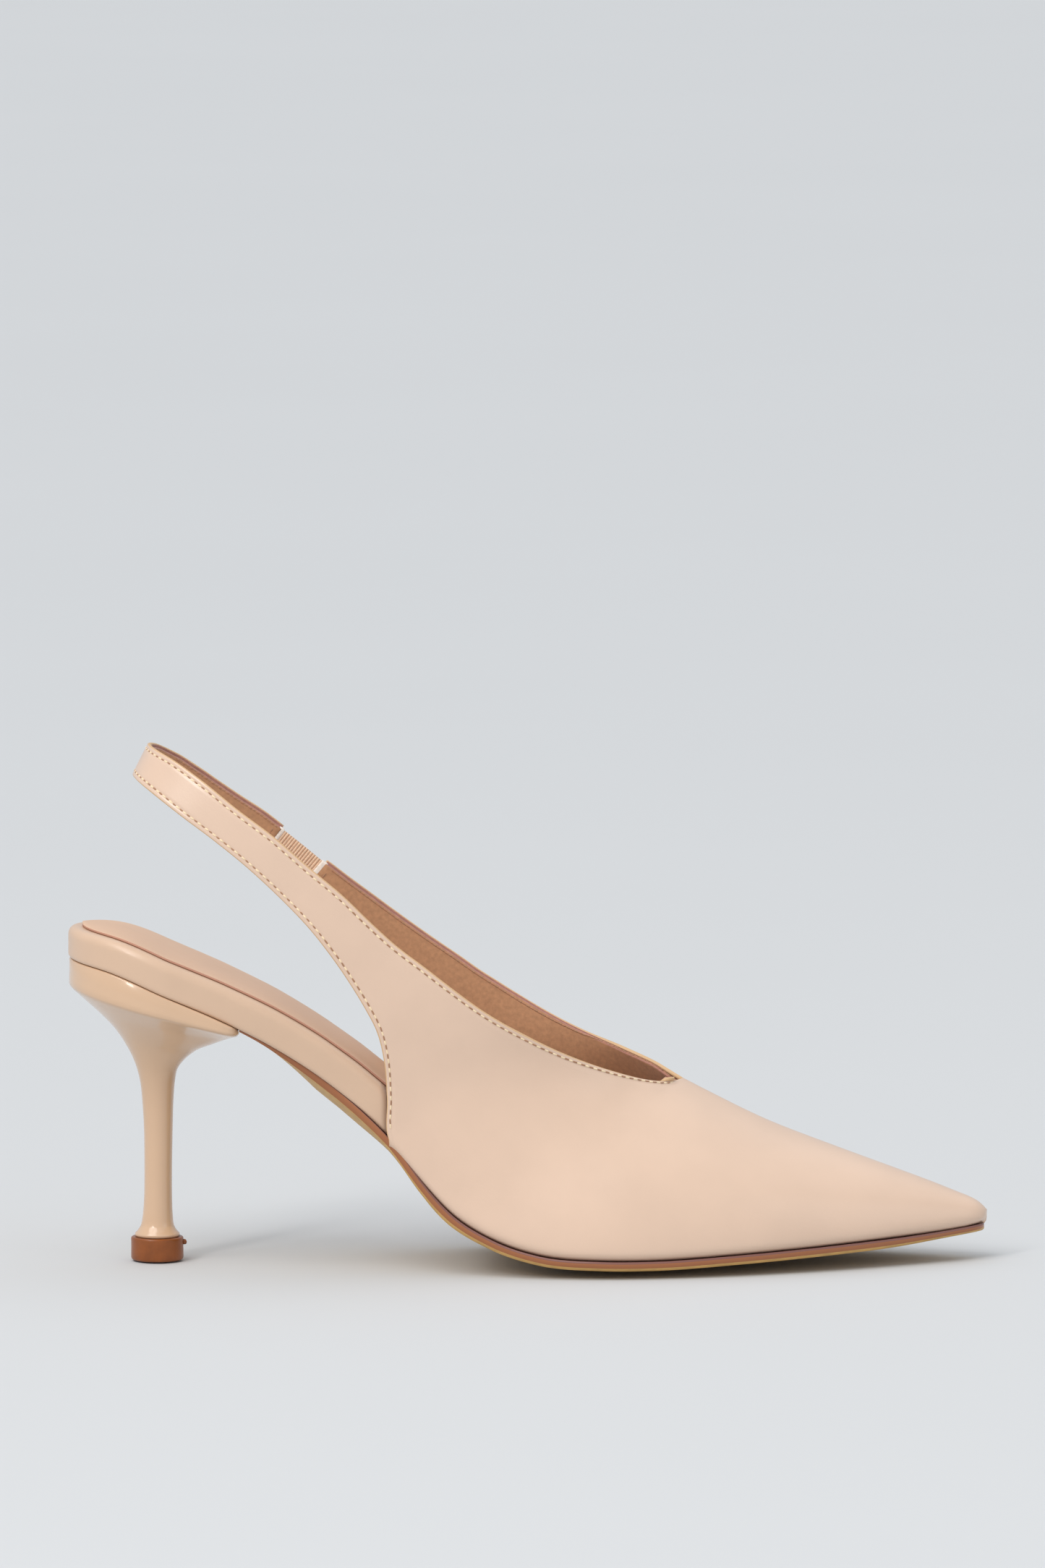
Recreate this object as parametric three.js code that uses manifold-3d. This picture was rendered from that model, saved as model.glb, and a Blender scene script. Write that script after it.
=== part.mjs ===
// A pointed slingback pump with a slim high heel, right foot, in millimetres.
// +X runs from the heel tip to the toe, +Z is up, +Y is the medial (big toe) side.
// The origin is the centre of the heel tip's ground face.
import * as THREE from 'three';
import Module from 'manifold-3d';

const wasm = await Module();
wasm.setup();

// ------------------------------------------------------------ driving sizes
const SHOE_LENGTH = 245;         // back of the heel seat to the toe
const BALL_WIDTH = 73.6;         // widest part of the upper
const HEEL_HEIGHT = 81.6;        // ground to the footbed's underside at the back
const LEATHER = 1.1;             // upper leather
const INTERLAYER = 0.6;          // strap tape and elastic, between leather and lining
const LINING = 0.6;              // upper lining
const PUFF = 0.4;                // toe puff
const PLY_GAP = 0.1;             // between the plies of the upper
const FIT = 0.2;                 // between the layers of the bottom
const MARGIN_GAP = 0.45;         // board to the lasted margin of the lining
const EDGE_GAP = 0.8;            // boards and foam to the wrap, at the footbed's edge
const LIP_GAP = 0.5;             // foam to the wrap's lip
const SOCK_GAP = 0.3;            // wrap's lip to the sock
const SEAT_GAP = 0.3;            // heel seat to the wrap
const FEATHER_RADIUS = 3;        // rounding of the upper's lower edge
const WRAP = 0.7;                // leather that wraps the footbed's edge
const WRAP_MARGIN = 12;          // wrap and lasting margin turned under
const WRAP_LIP = 8;              // wrap turned over the top of the footbed
const EDGE_RADIUS = 3;           // rounding of the footbed's upper edge
const LOWER_CORNER = [[1, 0], [0.25, 0.4], [0, 1.2]];   // wrap's lower corner: depth, height
const INNER_CORNER = 1.1;        // inside of the wrap's lower corner
const SHANK_BOARD = 1.2;
const INSOLE_BOARD = 1.4;
const HEEL_FOAM = 3.0;           // foam under the heel and waist
const TREAD_FOAM = 1.6;          // foam under the ball and toes
const SOCK = 0.6;
const SOCK_INSET = 4;            // sock edge to footbed edge
const TOE_SETBACK = { shankBoard: 3, insole: 7, foam: 13, sock: 18 };   // from the footbed's toe
const SOLE = 2.15;               // outsole
const SOLE_INSET = 1.4;          // outsole edge inside the upper
const WAIST_INSET = 2.4;         // outsole edge inside the footbed at the waist
const BALL_CAMBER = 1.6;         // crosswise roundness of the bottom under the ball
const WAIST_KEEL = 2.6;          // how much thicker the outsole is along the middle of the waist
const SHANK_WIDTH = 10;
const SHANK_THICKNESS = 0.9;
const SHANK_REAR = -8;           // ends of the shank, on the 245 mm pattern
const SHANK_FRONT = 86;
const FILLER_GAP = 4;            // shank to the filler
const FILLER_INSET = 2;          // filler inside the lasted margin
const STEM_DIAMETER = 7.6;
const TIP_DIAMETER = 12;         // flange above the top piece
const TOP_PIECE_DIAMETER = 14;
const TOP_PIECE_HEIGHT = 6.2;
const TIP_GAP = 0.1;
const PIN_DIAMETER = 2.5;        // top piece pin
const PIN_LENGTH = 17;
const PIN_HEAD = 7;
const PIN_HEAD_LOW = 2.4;        // underside of the pin's head above the ground
const PIN_CLEARANCE = 0.15;      // radial, pin to the tube's bore
const TUBE_WALL = 0.8;           // steel tube in the stem
const TUBE_LENGTH = 46;
const TUBE_RECESS = 1.2;         // tube's end above the stem's foot
const TOP_EDGE_ROUND = 0.7;      // lower edge of the top piece
const NAIL_DIAMETER = 2;
const NAIL_LENGTH = 15;
const NAIL_HEAD = 5;
const SCREW_DIAMETER = 4;
const SCREW_LENGTH = 19;
const SCREW_HEAD = 7.5;
const HEAD_THICKNESS = 0.8;
const RIVET_DIAMETER = 3;
const RIVET_HEAD = 5.5;
const RIVET_TAIL = 0.7;          // thickness of a rivet's closed end
const HEAD_LIFT = 0.05;          // under a head
const TAIL_LIFT = 0.25;          // over a rivet's closed end
const BORE_CLEARANCE = 0.1;      // radial, around nails, screw, rivets, pin and tube
const ELASTIC_INSET = 0.8;       // elastic narrower than the strap, each side
const TONGUE = 0.35;             // elastic sewn in at each end, as a share of a rib step
const TAPE_INSET = 1;            // strap tape inside the strap's edges

// ------------------------------------------------- grading of the pattern
// The outlines below are drawn for a 245 mm shoe with a 73.6 mm ball and an 81.6 mm heel.
const PATTERN = {
  length: 245, width: 73.6, height: 81.6, ball: 5.45, camber: 1.6, seatCentre: 4, bedToe: 219,
};
const FEATHER_DROP = LEATHER + 2 * FIT;                     // upper's lasted edge below the footbed
const SOLE_DROP = FEATHER_DROP + FIT;                       // outsole's top below the footbed
const ballHeight = BALL_CAMBER + SOLE_DROP + SOLE;          // footbed's underside above the ground
const alongScale = SHOE_LENGTH / PATTERN.length;
const acrossScale = BALL_WIDTH / PATTERN.width;
const riseScale = (HEEL_HEIGHT - ballHeight) / (PATTERN.height - PATTERN.ball);
const along = (x) => x * alongScale;
const across = (y) => y * acrossScale;
const rise = (z) => ballHeight + (z - PATTERN.ball) * riseScale;
const UPPER = LEATHER + INTERLAYER + LINING + 2 * PLY_GAP;  // whole thickness of the upper
const UPPER_BUILD = UPPER + FIT;                            // upper's outside to the footbed's edge
const TUBE_BORE = PIN_DIAMETER + 2 * PIN_CLEARANCE;
const TUBE_DIAMETER = TUBE_BORE + 2 * TUBE_WALL;

// ------------------------------------------------------------ plain curves
const lerp = (a, b, t) => a + (b - a) * t;
const clamp = (v, a, b) => Math.min(b, Math.max(a, v));
function smooth(t) {
  const c = clamp(t, 0, 1);
  return c * c * (3 - 2 * c);
}

// A smooth function through [x, value] points, with three-point slopes.
function curve(points) {
  const last = points.length - 1;
  const steps = points.slice(1).map((p, i) => (p[1] - points[i][1]) / (p[0] - points[i][0]));
  const slopes = points.map((p, i) => {
    if (i === 0) return steps[0];
    if (i === last) return steps[last - 1];
    const before = p[0] - points[i - 1][0];
    const after = points[i + 1][0] - p[0];
    return (steps[i - 1] * after + steps[i] * before) / (before + after);
  });
  return (x) => {
    if (x <= points[0][0]) return points[0][1] + slopes[0] * (x - points[0][0]);
    if (x >= points[last][0]) return points[last][1] + slopes[last] * (x - points[last][0]);
    let i = 0;
    while (x > points[i + 1][0]) i += 1;
    const span = points[i + 1][0] - points[i][0];
    const t = (x - points[i][0]) / span;
    const t2 = t * t;
    const t3 = t2 * t;
    return (2 * t3 - 3 * t2 + 1) * points[i][1] + (t3 - 2 * t2 + t) * span * slopes[i]
      + (3 * t2 - 2 * t3) * points[i + 1][1] + (t3 - t2) * span * slopes[i + 1];
  };
}
const graded = (points, second) => curve(points.map(([x, v]) => [along(x), second(v)]));

// Underside of the footbed's edge, from the heel seat down the waist to the ball and toe.
const base = graded([[-23.5, 81.6], [-12, 79.5], [3, 73.4], [18, 66.8], [31.5, 59.8], [45, 51],
  [54.6, 43.4], [62, 36.4], [71.4, 25.6], [79.7, 16.9], [90, 10.7], [102.5, 6.8], [118, 5.6],
  [132, 5.5], [156, 6.5], [181, 7.7], [206, 9.1], [221, 10.5]], rise);
const slope = (x) => base(x + 0.5) - base(x - 0.5);

// Plan shape of the footbed: a centre line and a half width.
const centre = graded([[-23.5, 0], [30, -0.3], [50, -1.5], [65, -2.5], [85, -3], [105, -3],
  [120, -2], [135, -0.3], [155, 0.6], [175, 1.4], [195, 2.3], [212, 3.3], [222, 4]], across);
const HEEL_BACK = along(-23.5);
const SEAT_CENTRE = along(PATTERN.seatCentre);
const SEAT_HALF = across(25.5);
const BED_TOE = along(221.7) - UPPER_BUILD;
const camber = graded([[-23.5, 0], [55, 0.2], [90, 1.2], [105, 1.6], [135, 1.6], [170, 0.9],
  [221, 0.3]], (v) => v * BALL_CAMBER / PATTERN.camber);
const bedSquares = curve([[4, 25.5], [28, 23.4], [48, 22], [62, 23.2], [85, 27.6], [105, 31.6],
  [120, 33.6], [135, 33.8], [155, 30], [175, 23.4], [195, 14.6], [206, 9], [213, 5.5], [219, 0]]
  .map(([x, w]) => [x, w * w]));
function bedHalf(x) {
  if (x <= SEAT_CENTRE) {
    const reach = (SEAT_CENTRE - x) / (SEAT_CENTRE - HEEL_BACK);
    return SEAT_HALF * Math.sqrt(Math.max(0, 1 - reach ** 2));
  }
  const share = (x - SEAT_CENTRE) / (BED_TOE - SEAT_CENTRE);
  const patternX = PATTERN.seatCentre + share * (PATTERN.bedToe - PATTERN.seatCentre);
  return across(Math.sqrt(Math.max(0, bedSquares(patternX))));
}

// The footbed outline moved outward by a distance, as { from, to, half(x) }.
function outline(distance) {
  const kept = [];
  const count = 240;
  const step = 0.01;
  for (let i = 0; i <= count; i += 1) {
    const angle = Math.PI * i / count;
    const x = lerp(HEEL_BACK, BED_TOE, (1 - Math.cos(angle)) / 2);
    const near = clamp(x, HEEL_BACK + 2 * step, BED_TOE - 2 * step);
    const grad = (bedHalf(near + step) - bedHalf(near - step)) / (2 * step);
    const size = Math.hypot(1, grad);
    let point = [x - distance * grad / size, bedHalf(x) + distance / size];
    if (i === 0) point = [HEEL_BACK - distance, 0];
    if (i === count) point = [BED_TOE + distance, 0];
    const before = kept[kept.length - 1];
    if (point[1] >= 0 && (!before || point[0] > before[0] + 1e-6)) kept.push(point);
  }
  const half = (x) => {
    if (x <= kept[0][0] || x >= kept[kept.length - 1][0]) return 0;
    let i = 0;
    while (x > kept[i + 1][0]) i += 1;
    const t = (x - kept[i][0]) / (kept[i + 1][0] - kept[i][0]);
    return Math.sqrt(lerp(kept[i][1] ** 2, kept[i + 1][1] ** 2, t));
  };
  return { from: kept[0][0], to: kept[kept.length - 1][0], half };
}
const upperOutline = outline(UPPER_BUILD);

// Height of a layer: h above the footbed's underside, measured square to it.
function level(x, y, h) {
  const v = clamp((y - centre(x)) / Math.max(bedHalf(x), 1), -1, 1);
  return base(x) + h * Math.hypot(1, slope(x)) - camber(x) * (1 - v * v);
}

// ------------------------------------------------------------- solids
// A solid is { points: [[x, y, z]], faces: [[a, b, c]] }.
function tidySolid(points, faces) {
  const seen = new Map();
  const kept = [];
  const index = points.map((p) => {
    const key = p.map((v) => Math.round(v * 1e4)).join(',');
    if (!seen.has(key)) {
      seen.set(key, kept.length);
      kept.push(p);
    }
    return seen.get(key);
  });
  const solid = faces.map((f) => f.map((i) => index[i]))
    .filter(([a, b, c]) => a !== b && b !== c && a !== c);
  return { points: kept, faces: solid };
}

function outward(solid) {
  let volume = 0;
  for (const [a, b, c] of solid.faces) {
    const [p, q, r] = [solid.points[a], solid.points[b], solid.points[c]];
    volume += p[0] * (q[1] * r[2] - q[2] * r[1]) + p[1] * (q[2] * r[0] - q[0] * r[2])
      + p[2] * (q[0] * r[1] - q[1] * r[0]);
  }
  if (volume < 0) solid.faces.forEach((f) => f.reverse());
  return solid;
}

// Closed rings of equal length joined in order. Each end is closed by a fan, or, on a hollow
// section, by the triangles of the flat contour that it was drawn from.
function loft(rings, contour) {
  const n = rings[0].length;
  const points = rings.flat();
  const faces = [];
  for (let i = 0; i + 1 < rings.length; i += 1) {
    for (let j = 0; j < n; j += 1) {
      const a = i * n + j;
      const b = i * n + (j + 1) % n;
      faces.push([a, b, b + n], [a, b + n, a + n]);
    }
  }
  const flat = (contour ?? []).map((p) => new THREE.Vector2(...p));
  const fill = contour ? THREE.ShapeUtils.triangulateShape(flat, []) : [];
  const clockwise = contour ? THREE.ShapeUtils.isClockWise(flat) : false;
  for (const end of [0, rings.length - 1]) {
    const same = (end === 0) === clockwise;
    fill.forEach(([a, b, c]) => faces.push((same ? [a, b, c] : [c, b, a]).map((k) => k + end * n)));
    if (contour) continue;
    const middle = [0, 1, 2].map((k) => rings[end].reduce((sum, p) => sum + p[k], 0) / n);
    const hub = points.push(middle) - 1;
    for (let j = 0; j < n; j += 1) {
      const a = end * n + j;
      const b = end * n + (j + 1) % n;
      faces.push(end === 0 ? [b, a, hub] : [a, b, hub]);
    }
  }
  return outward(tidySolid(points, faces));
}

// An open surface given two skins, at distances measured outward along its normals.
function thicken(surface, outer, inner) {
  const { points, faces } = surface;
  const normals = points.map(() => new THREE.Vector3());
  for (const face of faces) {
    const [p, q, r] = face.map((i) => new THREE.Vector3(...points[i]));
    const normal = q.sub(p).cross(r.sub(p));
    face.forEach((i) => normals[i].add(normal));
  }
  const skin = (distance) => points.map((p, i) => {
    const n = normals[i].clone().normalize();
    return [p[0] + n.x * distance, p[1] + n.y * distance, p[2] + n.z * distance];
  });
  const count = points.length;
  const closed = faces.map((f) => [...f]);
  faces.forEach(([a, b, c]) => closed.push([c + count, b + count, a + count]));
  const edges = new Set(faces.flatMap(([a, b, c]) => [`${a},${b}`, `${b},${c}`, `${c},${a}`]));
  for (const edge of edges) {
    const [a, b] = edge.split(',').map(Number);
    if (!edges.has(`${b},${a}`)) closed.push([b, a, a + count], [b, a + count, b + count]);
  }
  return outward({ points: [...skin(outer), ...skin(inner)], faces: closed });
}

function toManifold({ points, faces }) {
  return new wasm.Manifold(new wasm.Mesh({
    numProp: 3,
    vertProperties: new Float32Array(points.flat()),
    triVerts: new Uint32Array(faces.flat()),
  }));
}

function cut(solid, tools) {
  let body = toManifold(solid);
  tools.forEach((tool) => { body = body.subtract(toManifold(tool)); });
  const mesh = body.getMesh();
  const points = [];
  for (let i = 0; i < mesh.vertProperties.length; i += mesh.numProp) {
    points.push([...mesh.vertProperties.slice(i, i + 3)]);
  }
  const faces = [];
  for (let i = 0; i < mesh.triVerts.length; i += 3) faces.push([...mesh.triVerts.slice(i, i + 3)]);
  return { points, faces };
}

// A piece turned about the Z axis from its [radius, height] profile, then moved to its place.
function turned(profile, sides, place = new THREE.Matrix4()) {
  const lathe = new THREE.LatheGeometry(profile.map(([r, z]) => new THREE.Vector2(r, z)), sides);
  lathe.rotateX(Math.PI / 2);
  lathe.applyMatrix4(place);
  const position = lathe.getAttribute('position');
  const points = [];
  for (let i = 0; i < position.count; i += 1) {
    points.push([position.getX(i), position.getY(i), position.getZ(i)]);
  }
  const faces = [];
  for (let i = 0; i < lathe.index.count; i += 3) {
    faces.push([lathe.index.getX(i), lathe.index.getX(i + 1), lathe.index.getX(i + 2)]);
  }
  return outward(tidySolid(points, faces));
}

// Frame whose origin is on the footbed's underside at x, y, with +Z square to it.
function seatFrame(x, y) {
  const tangent = new THREE.Vector3(1, 0, slope(x)).normalize();
  const side = new THREE.Vector3(0, 1, 0);
  const normal = new THREE.Vector3().crossVectors(tangent, side);
  const frame = new THREE.Matrix4().makeBasis(tangent, side, normal);
  return frame.setPosition(x, y, level(x, y, 0));
}

const group = new THREE.Group();
function add(name, solid, colour, roughness, metalness = 0) {
  const geometry = new THREE.BufferGeometry();
  geometry.setAttribute('position', new THREE.Float32BufferAttribute(solid.points.flat(), 3));
  geometry.setIndex(solid.faces.flat());
  const material = new THREE.MeshStandardMaterial({ color: colour, roughness, metalness });
  const mesh = new THREE.Mesh(geometry, material);
  mesh.name = name;
  group.add(mesh);
}

// ------------------------------------------------------------- colours
const NUDE = '#d9bd9f';
const LINING_TAN = '#b0876a';
const HEEL_NUDE = '#cfae90';
const SOLE_BROWN = '#8a4f2a';
const STEEL = '#9a9ca0';
const BOARD = '#a98b68';
const FOAM_CREAM = '#d8cfa8';
const PUFF_WHITE = '#e8e2d0';
const TAPE_WHITE = '#efe9dc';
const ELASTIC_BEIGE = '#d9c8ae';
const FILLER_CORK = '#b59a6f';

// ------------------------------------------------------------- layered bottom
// Heights of the layers above the footbed's underside.
const shankBoardLow = UPPER - FEATHER_DROP + MARGIN_GAP;
const insoleLow = shankBoardLow + SHANK_BOARD + FIT;
const boardTop = insoleLow + INSOLE_BOARD;
const foamLow = boardTop + FIT;
const FOAM_TAPER = { from: along(66), length: along(44) };
const SOCK_STEP = 12;            // length over which the sock comes down off the wrap
const foamShare = (x) => smooth((x - FOAM_TAPER.from) / FOAM_TAPER.length);
const foamTop = (x) => foamLow + lerp(HEEL_FOAM, TREAD_FOAM, foamShare(x));
const wrapTop = (x) => foamTop(x) + LIP_GAP + WRAP;
const VAMP_REAR = along(62.3);   // where the upper's rear edge meets the sole
const wrapFront = VAMP_REAR - LINING - 2 * FIT;
function sockBottom(x) {
  return lerp(wrapTop(x) + SOCK_GAP, foamTop(x) + FIT, smooth((x - wrapFront) / SOCK_STEP));
}

// Places along the length where every layer has a section, closer together at the ball.
const SECTIONS = [wrapFront - 3, wrapFront, wrapFront + 0.6];
for (let x = -17; x < 66; x += 9.6) SECTIONS.push(along(x));
for (let x = 67; x < 112; x += 5) SECTIONS.push(along(x));
for (let x = 112; x < 220; x += 12) SECTIONS.push(along(x));
const END_STEPS = [0.1, 0.6, 1.8, 4];    // sections near a plate's ends
const END_ZONE = 7;
const MOST_BEVEL = 0.6;                  // of a plate's thickness

function sectionsBetween(from, to) {
  const ends = END_STEPS.flatMap((step) => [from + step, to - step]);
  const inner = SECTIONS.filter((x) => x > from + END_ZONE && x < to - END_ZONE);
  return [...ends, ...inner].sort((a, b) => a - b);
}

// A plate between two layer heights, h(x), inside a plan outline. A keel hangs below its middle.
function plate({ from, to, half }, low, high, steps = 4, bevel = 0, keel = () => 0) {
  const rings = sectionsBetween(from, to).map((x) => {
    const ring = [];
    const edge = Math.min(bevel, half(x) / 2, (high(x) - low(x)) * MOST_BEVEL);
    const drop = Math.max(0, edge - Math.min(x - from, to - x));
    for (let i = 0; i <= steps; i += 1) {
      const v = lerp(-1, 1, i / steps);
      const y = centre(x) + half(x) * v;
      ring.push([x, y, level(x, y, low(x) - keel(x) * (1 - v * v))]);
    }
    const shoulder = (side) => {
      const y = centre(x) + side * half(x);
      ring.push([x, y, level(x, y, high(x) - Math.max(edge, drop))]);
    };
    if (bevel) shoulder(1);
    for (let i = steps; i >= 0; i -= 1) {
      const y = centre(x) + (half(x) - edge) * lerp(-1, 1, i / steps);
      ring.push([x, y, level(x, y, high(x) - drop)]);
    }
    if (bevel) shoulder(-1);
    return ring;
  });
  return loft(rings);
}
const constant = (h) => () => h;

const BREAST = along(22.4);      // front of the heel
const inside = outline(-WRAP - EDGE_GAP);
const toeShort = (shape, distance) => ({ ...shape, to: BED_TOE - distance });

// Fastenings through the heel seat and the shank.
const SCREW_PLACE = [along(2), 0];
const NAIL_PLACES = [[-6, -7], [-6, 7], [12, -9], [12, 9]].map(([x, y]) => [along(x), across(y)]);
const RIVET_PLACES = [34, 76].map((x) => [along(x), centre(along(x))]);
const stud = (radius, head, low, high) => [[0, low], [radius, low], [radius, high], [head, high],
  [head, high + HEAD_THICKNESS], [0, high + HEAD_THICKNESS]];
const hole = (radius, low, high) => [[0, low], [radius, low], [radius, high], [0, high]];
const fasteners = [
  { place: SCREW_PLACE, radius: SCREW_DIAMETER / 2, head: SCREW_HEAD / 2, depth: SCREW_LENGTH },
  ...NAIL_PLACES.map((place) => ({
    place, radius: NAIL_DIAMETER / 2, head: NAIL_HEAD / 2, depth: NAIL_LENGTH,
  })),
];
const SIDES = 10;
const THROUGH = 1;               // how far a cutting tool goes past a face
const headLow = boardTop + HEAD_LIFT;
const headTop = headLow + HEAD_THICKNESS;
const atSeat = (profile, place) => turned(profile, SIDES, seatFrame(...place));
const fastenerHoles = fasteners.map(({ place, radius, depth }) => (
  atSeat(hole(radius + BORE_CLEARANCE, boardTop - depth - BORE_CLEARANCE, boardTop + THROUGH), place)));
const headPockets = fasteners.map(({ place, head }) => (
  atSeat(hole(head + FIT, boardTop - THROUGH, headTop + FIT), place)));
const shankLow = shankBoardLow + (SHANK_BOARD - SHANK_THICKNESS) / 2;
const tailTop = shankLow - TAIL_LIFT;
const rivetProfile = [[0, tailTop - RIVET_TAIL], [RIVET_HEAD / 2, tailTop - RIVET_TAIL],
  [RIVET_HEAD / 2, tailTop], [RIVET_DIAMETER / 2, tailTop], [RIVET_DIAMETER / 2, headLow],
  [RIVET_HEAD / 2, headLow], [RIVET_HEAD / 2, headTop], [0, headTop]];
const rivetHoles = RIVET_PLACES.map((place) => (
  atSeat(hole(RIVET_DIAMETER / 2 + BORE_CLEARANCE, -THROUGH, boardTop + THROUGH), place)));
const rivetPockets = RIVET_PLACES.map((place) => (
  atSeat(hole(RIVET_HEAD / 2 + FIT, boardTop - THROUGH, headTop + FIT), place)));

const shankOutline = {
  from: along(SHANK_REAR), to: along(SHANK_FRONT), half: constant(SHANK_WIDTH / 2),
};
const slotOutline = {
  from: shankOutline.from - FIT, to: shankOutline.to + FIT, half: constant(SHANK_WIDTH / 2 + FIT),
};

const shankBoardTop = shankBoardLow + SHANK_BOARD;
const shankBoard = plate(toeShort(inside, TOE_SETBACK.shankBoard), constant(shankBoardLow),
  constant(shankBoardTop));
const shankSlot = plate(slotOutline, constant(shankBoardLow - THROUGH),
  constant(shankBoardTop + THROUGH), 1);
add('shank_board', cut(shankBoard, [shankSlot, ...fastenerHoles]), BOARD, 0.9);
add('shank', cut(plate(shankOutline, constant(shankLow), constant(shankLow + SHANK_THICKNESS), 2),
  [...fastenerHoles.slice(0, 1), ...rivetHoles]), STEEL, 0.4, 0.9);
const insoleBoard = plate(toeShort(inside, TOE_SETBACK.insole), constant(insoleLow), constant(boardTop));
add('insole_board', cut(insoleBoard, [...fastenerHoles, ...rivetHoles]), BOARD, 0.9);
const foam = plate(toeShort(inside, TOE_SETBACK.foam), constant(foamLow), foamTop, 4, EDGE_RADIUS - WRAP);
add('footbed_foam', cut(foam, [...headPockets, ...rivetPockets]), FOAM_CREAM, 0.95);
const sockOutline = toeShort(outline(-SOCK_INSET), TOE_SETBACK.sock);
add('sock', plate(sockOutline, sockBottom, (x) => sockBottom(x) + SOCK), NUDE, 0.5);
fasteners.forEach(({ place, radius, head, depth }, i) => {
  const name = i === 0 ? 'heel_screw' : `heel_nail_${i}`;
  add(name, atSeat(stud(radius, head, boardTop - depth, headLow), place), STEEL, 0.4, 0.9);
});
RIVET_PLACES.forEach((place, i) => {
  add(`shank_rivet_${['rear', 'front'][i]}`, atSeat(rivetProfile, place), STEEL, 0.4, 0.9);
});

// A point of the outline moved in towards the middle line, which stops short of both ends.
const MIDDLE_REAR = HEEL_BACK + along(30);
const MIDDLE_FRONT = BED_TOE - along(34);
function inward(x, y, distance) {
  const fx = clamp(x, MIDDLE_REAR, MIDDLE_FRONT);
  const size = Math.hypot(fx - x, centre(fx) - y);
  const t = distance / size;
  return [x + (fx - x) * t, y + (centre(fx) - y) * t];
}

// The wrap: a C-shaped section swept round the open part of the footbed's edge.
const WRAP_STATIONS = 44;
const WRAP_CHAMFER = EDGE_RADIUS * 0.3;
function wrapSection(top) {
  return [[WRAP_MARGIN, 0], ...LOWER_CORNER, [0, top - EDGE_RADIUS], [WRAP_CHAMFER, top - WRAP_CHAMFER],
    [EDGE_RADIUS, top], [WRAP_LIP, top], [WRAP_LIP, top - WRAP], [EDGE_RADIUS, top - WRAP],
    [WRAP_CHAMFER + WRAP, top - WRAP_CHAMFER - WRAP], [WRAP, top - EDGE_RADIUS],
    [WRAP, INNER_CORNER], [INNER_CORNER, WRAP], [WRAP_MARGIN, WRAP]];
}
const wrapRings = [];
for (let i = 0; i <= WRAP_STATIONS; i += 1) {
  const side = lerp(-1, 1, i / WRAP_STATIONS);
  const x = lerp(HEEL_BACK + 0.01, wrapFront, side * side);
  const y = centre(x) + Math.sign(side || 1) * bedHalf(x);
  wrapRings.push(wrapSection(wrapTop(x)).map(([depth, h]) => {
    const [px, py] = inward(x, y, depth);
    return [px, py, level(px, py, h)];
  }));
}
add('footbed_wrap', loft(wrapRings, wrapSection(wrapTop(wrapFront))), NUDE, 0.45);

// ------------------------------------------------------------- upper
// Ribs cross the upper from its lower edge to its upper edge. Each has the upper edge's
// x, y, z, the lower edge's x, y, z and the roundness of the rib between them.
const crown = graded([[140.5, 48.9], [150.3, 43.8], [162.6, 37.6], [174.9, 32.7], [187.2, 28],
  [199.5, 23.4], [208.7, 19.9], [214.9, 17.3], [218, 16.1], [220.4, 14.4], [221.7, 12.9]], rise);
const TOE_RIBS = [[221.7, 221.7, 1], [221, 220.9, 1], [219.4, 219.2, 1], [216, 215.8, 1],
  [209.5, 209, 1], [199.5, 198, 1], [187.2, 183, 1], [174.9, 167, 1], [162.6, 150, 0.98],
  [150.3, 133, 0.94], [140.5, 120, 0.9]];
const LATERAL_RIBS = [[136.5, 6.5, 48.7, 110, 0.85], [128.5, 12.4, 50.4, 98, 0.78],
  [116.2, 19, 54.7, 84, 0.65], [106.9, 23, 58.7, 72, 0.5], [97.7, 26, 63.5, 62.3, 0.3]];
const LATERAL_REAR = [[91, 27.3, 67.4, 61.9, 28.1, 46.5, 0.2], [85.4, 28, 71.1, 61.2, 28.4, 56.5, 0.15],
  [79, 28.6, 75.9, 59.4, 28.7, 64.5, 0.1], [72, 28.8, 81.4, 56.2, 28.7, 70.9, 0.1],
  [63.8, 28.5, 87.7, 51.5, 28.5, 78.6, 0], [57, 28.1, 93.9, 47.3, 28.2, 84.7, 0],
  [49.7, 27.6, 100.9, 41.2, 27.5, 92.4, 0], [40.5, 26.6, 108.5, 33.6, 26.2, 100.2, 0],
  [31.2, 25, 116.4, 24.6, 24.6, 108.4, 0], [22, 22.7, 123.1, 15.7, 22.4, 115.4, 0],
  [12.8, 19.3, 130.2, 6.6, 19.3, 121.9, 0], [5, 14.4, 135.3, -0.5, 15, 127.1, 0],
  [-0.5, 7.9, 137.8, -4.7, 8.5, 129.7, 0]];
const BACK_RIB = [-2.3, 0, 138.5, -6.3, 0, 130.6, 0];
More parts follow.
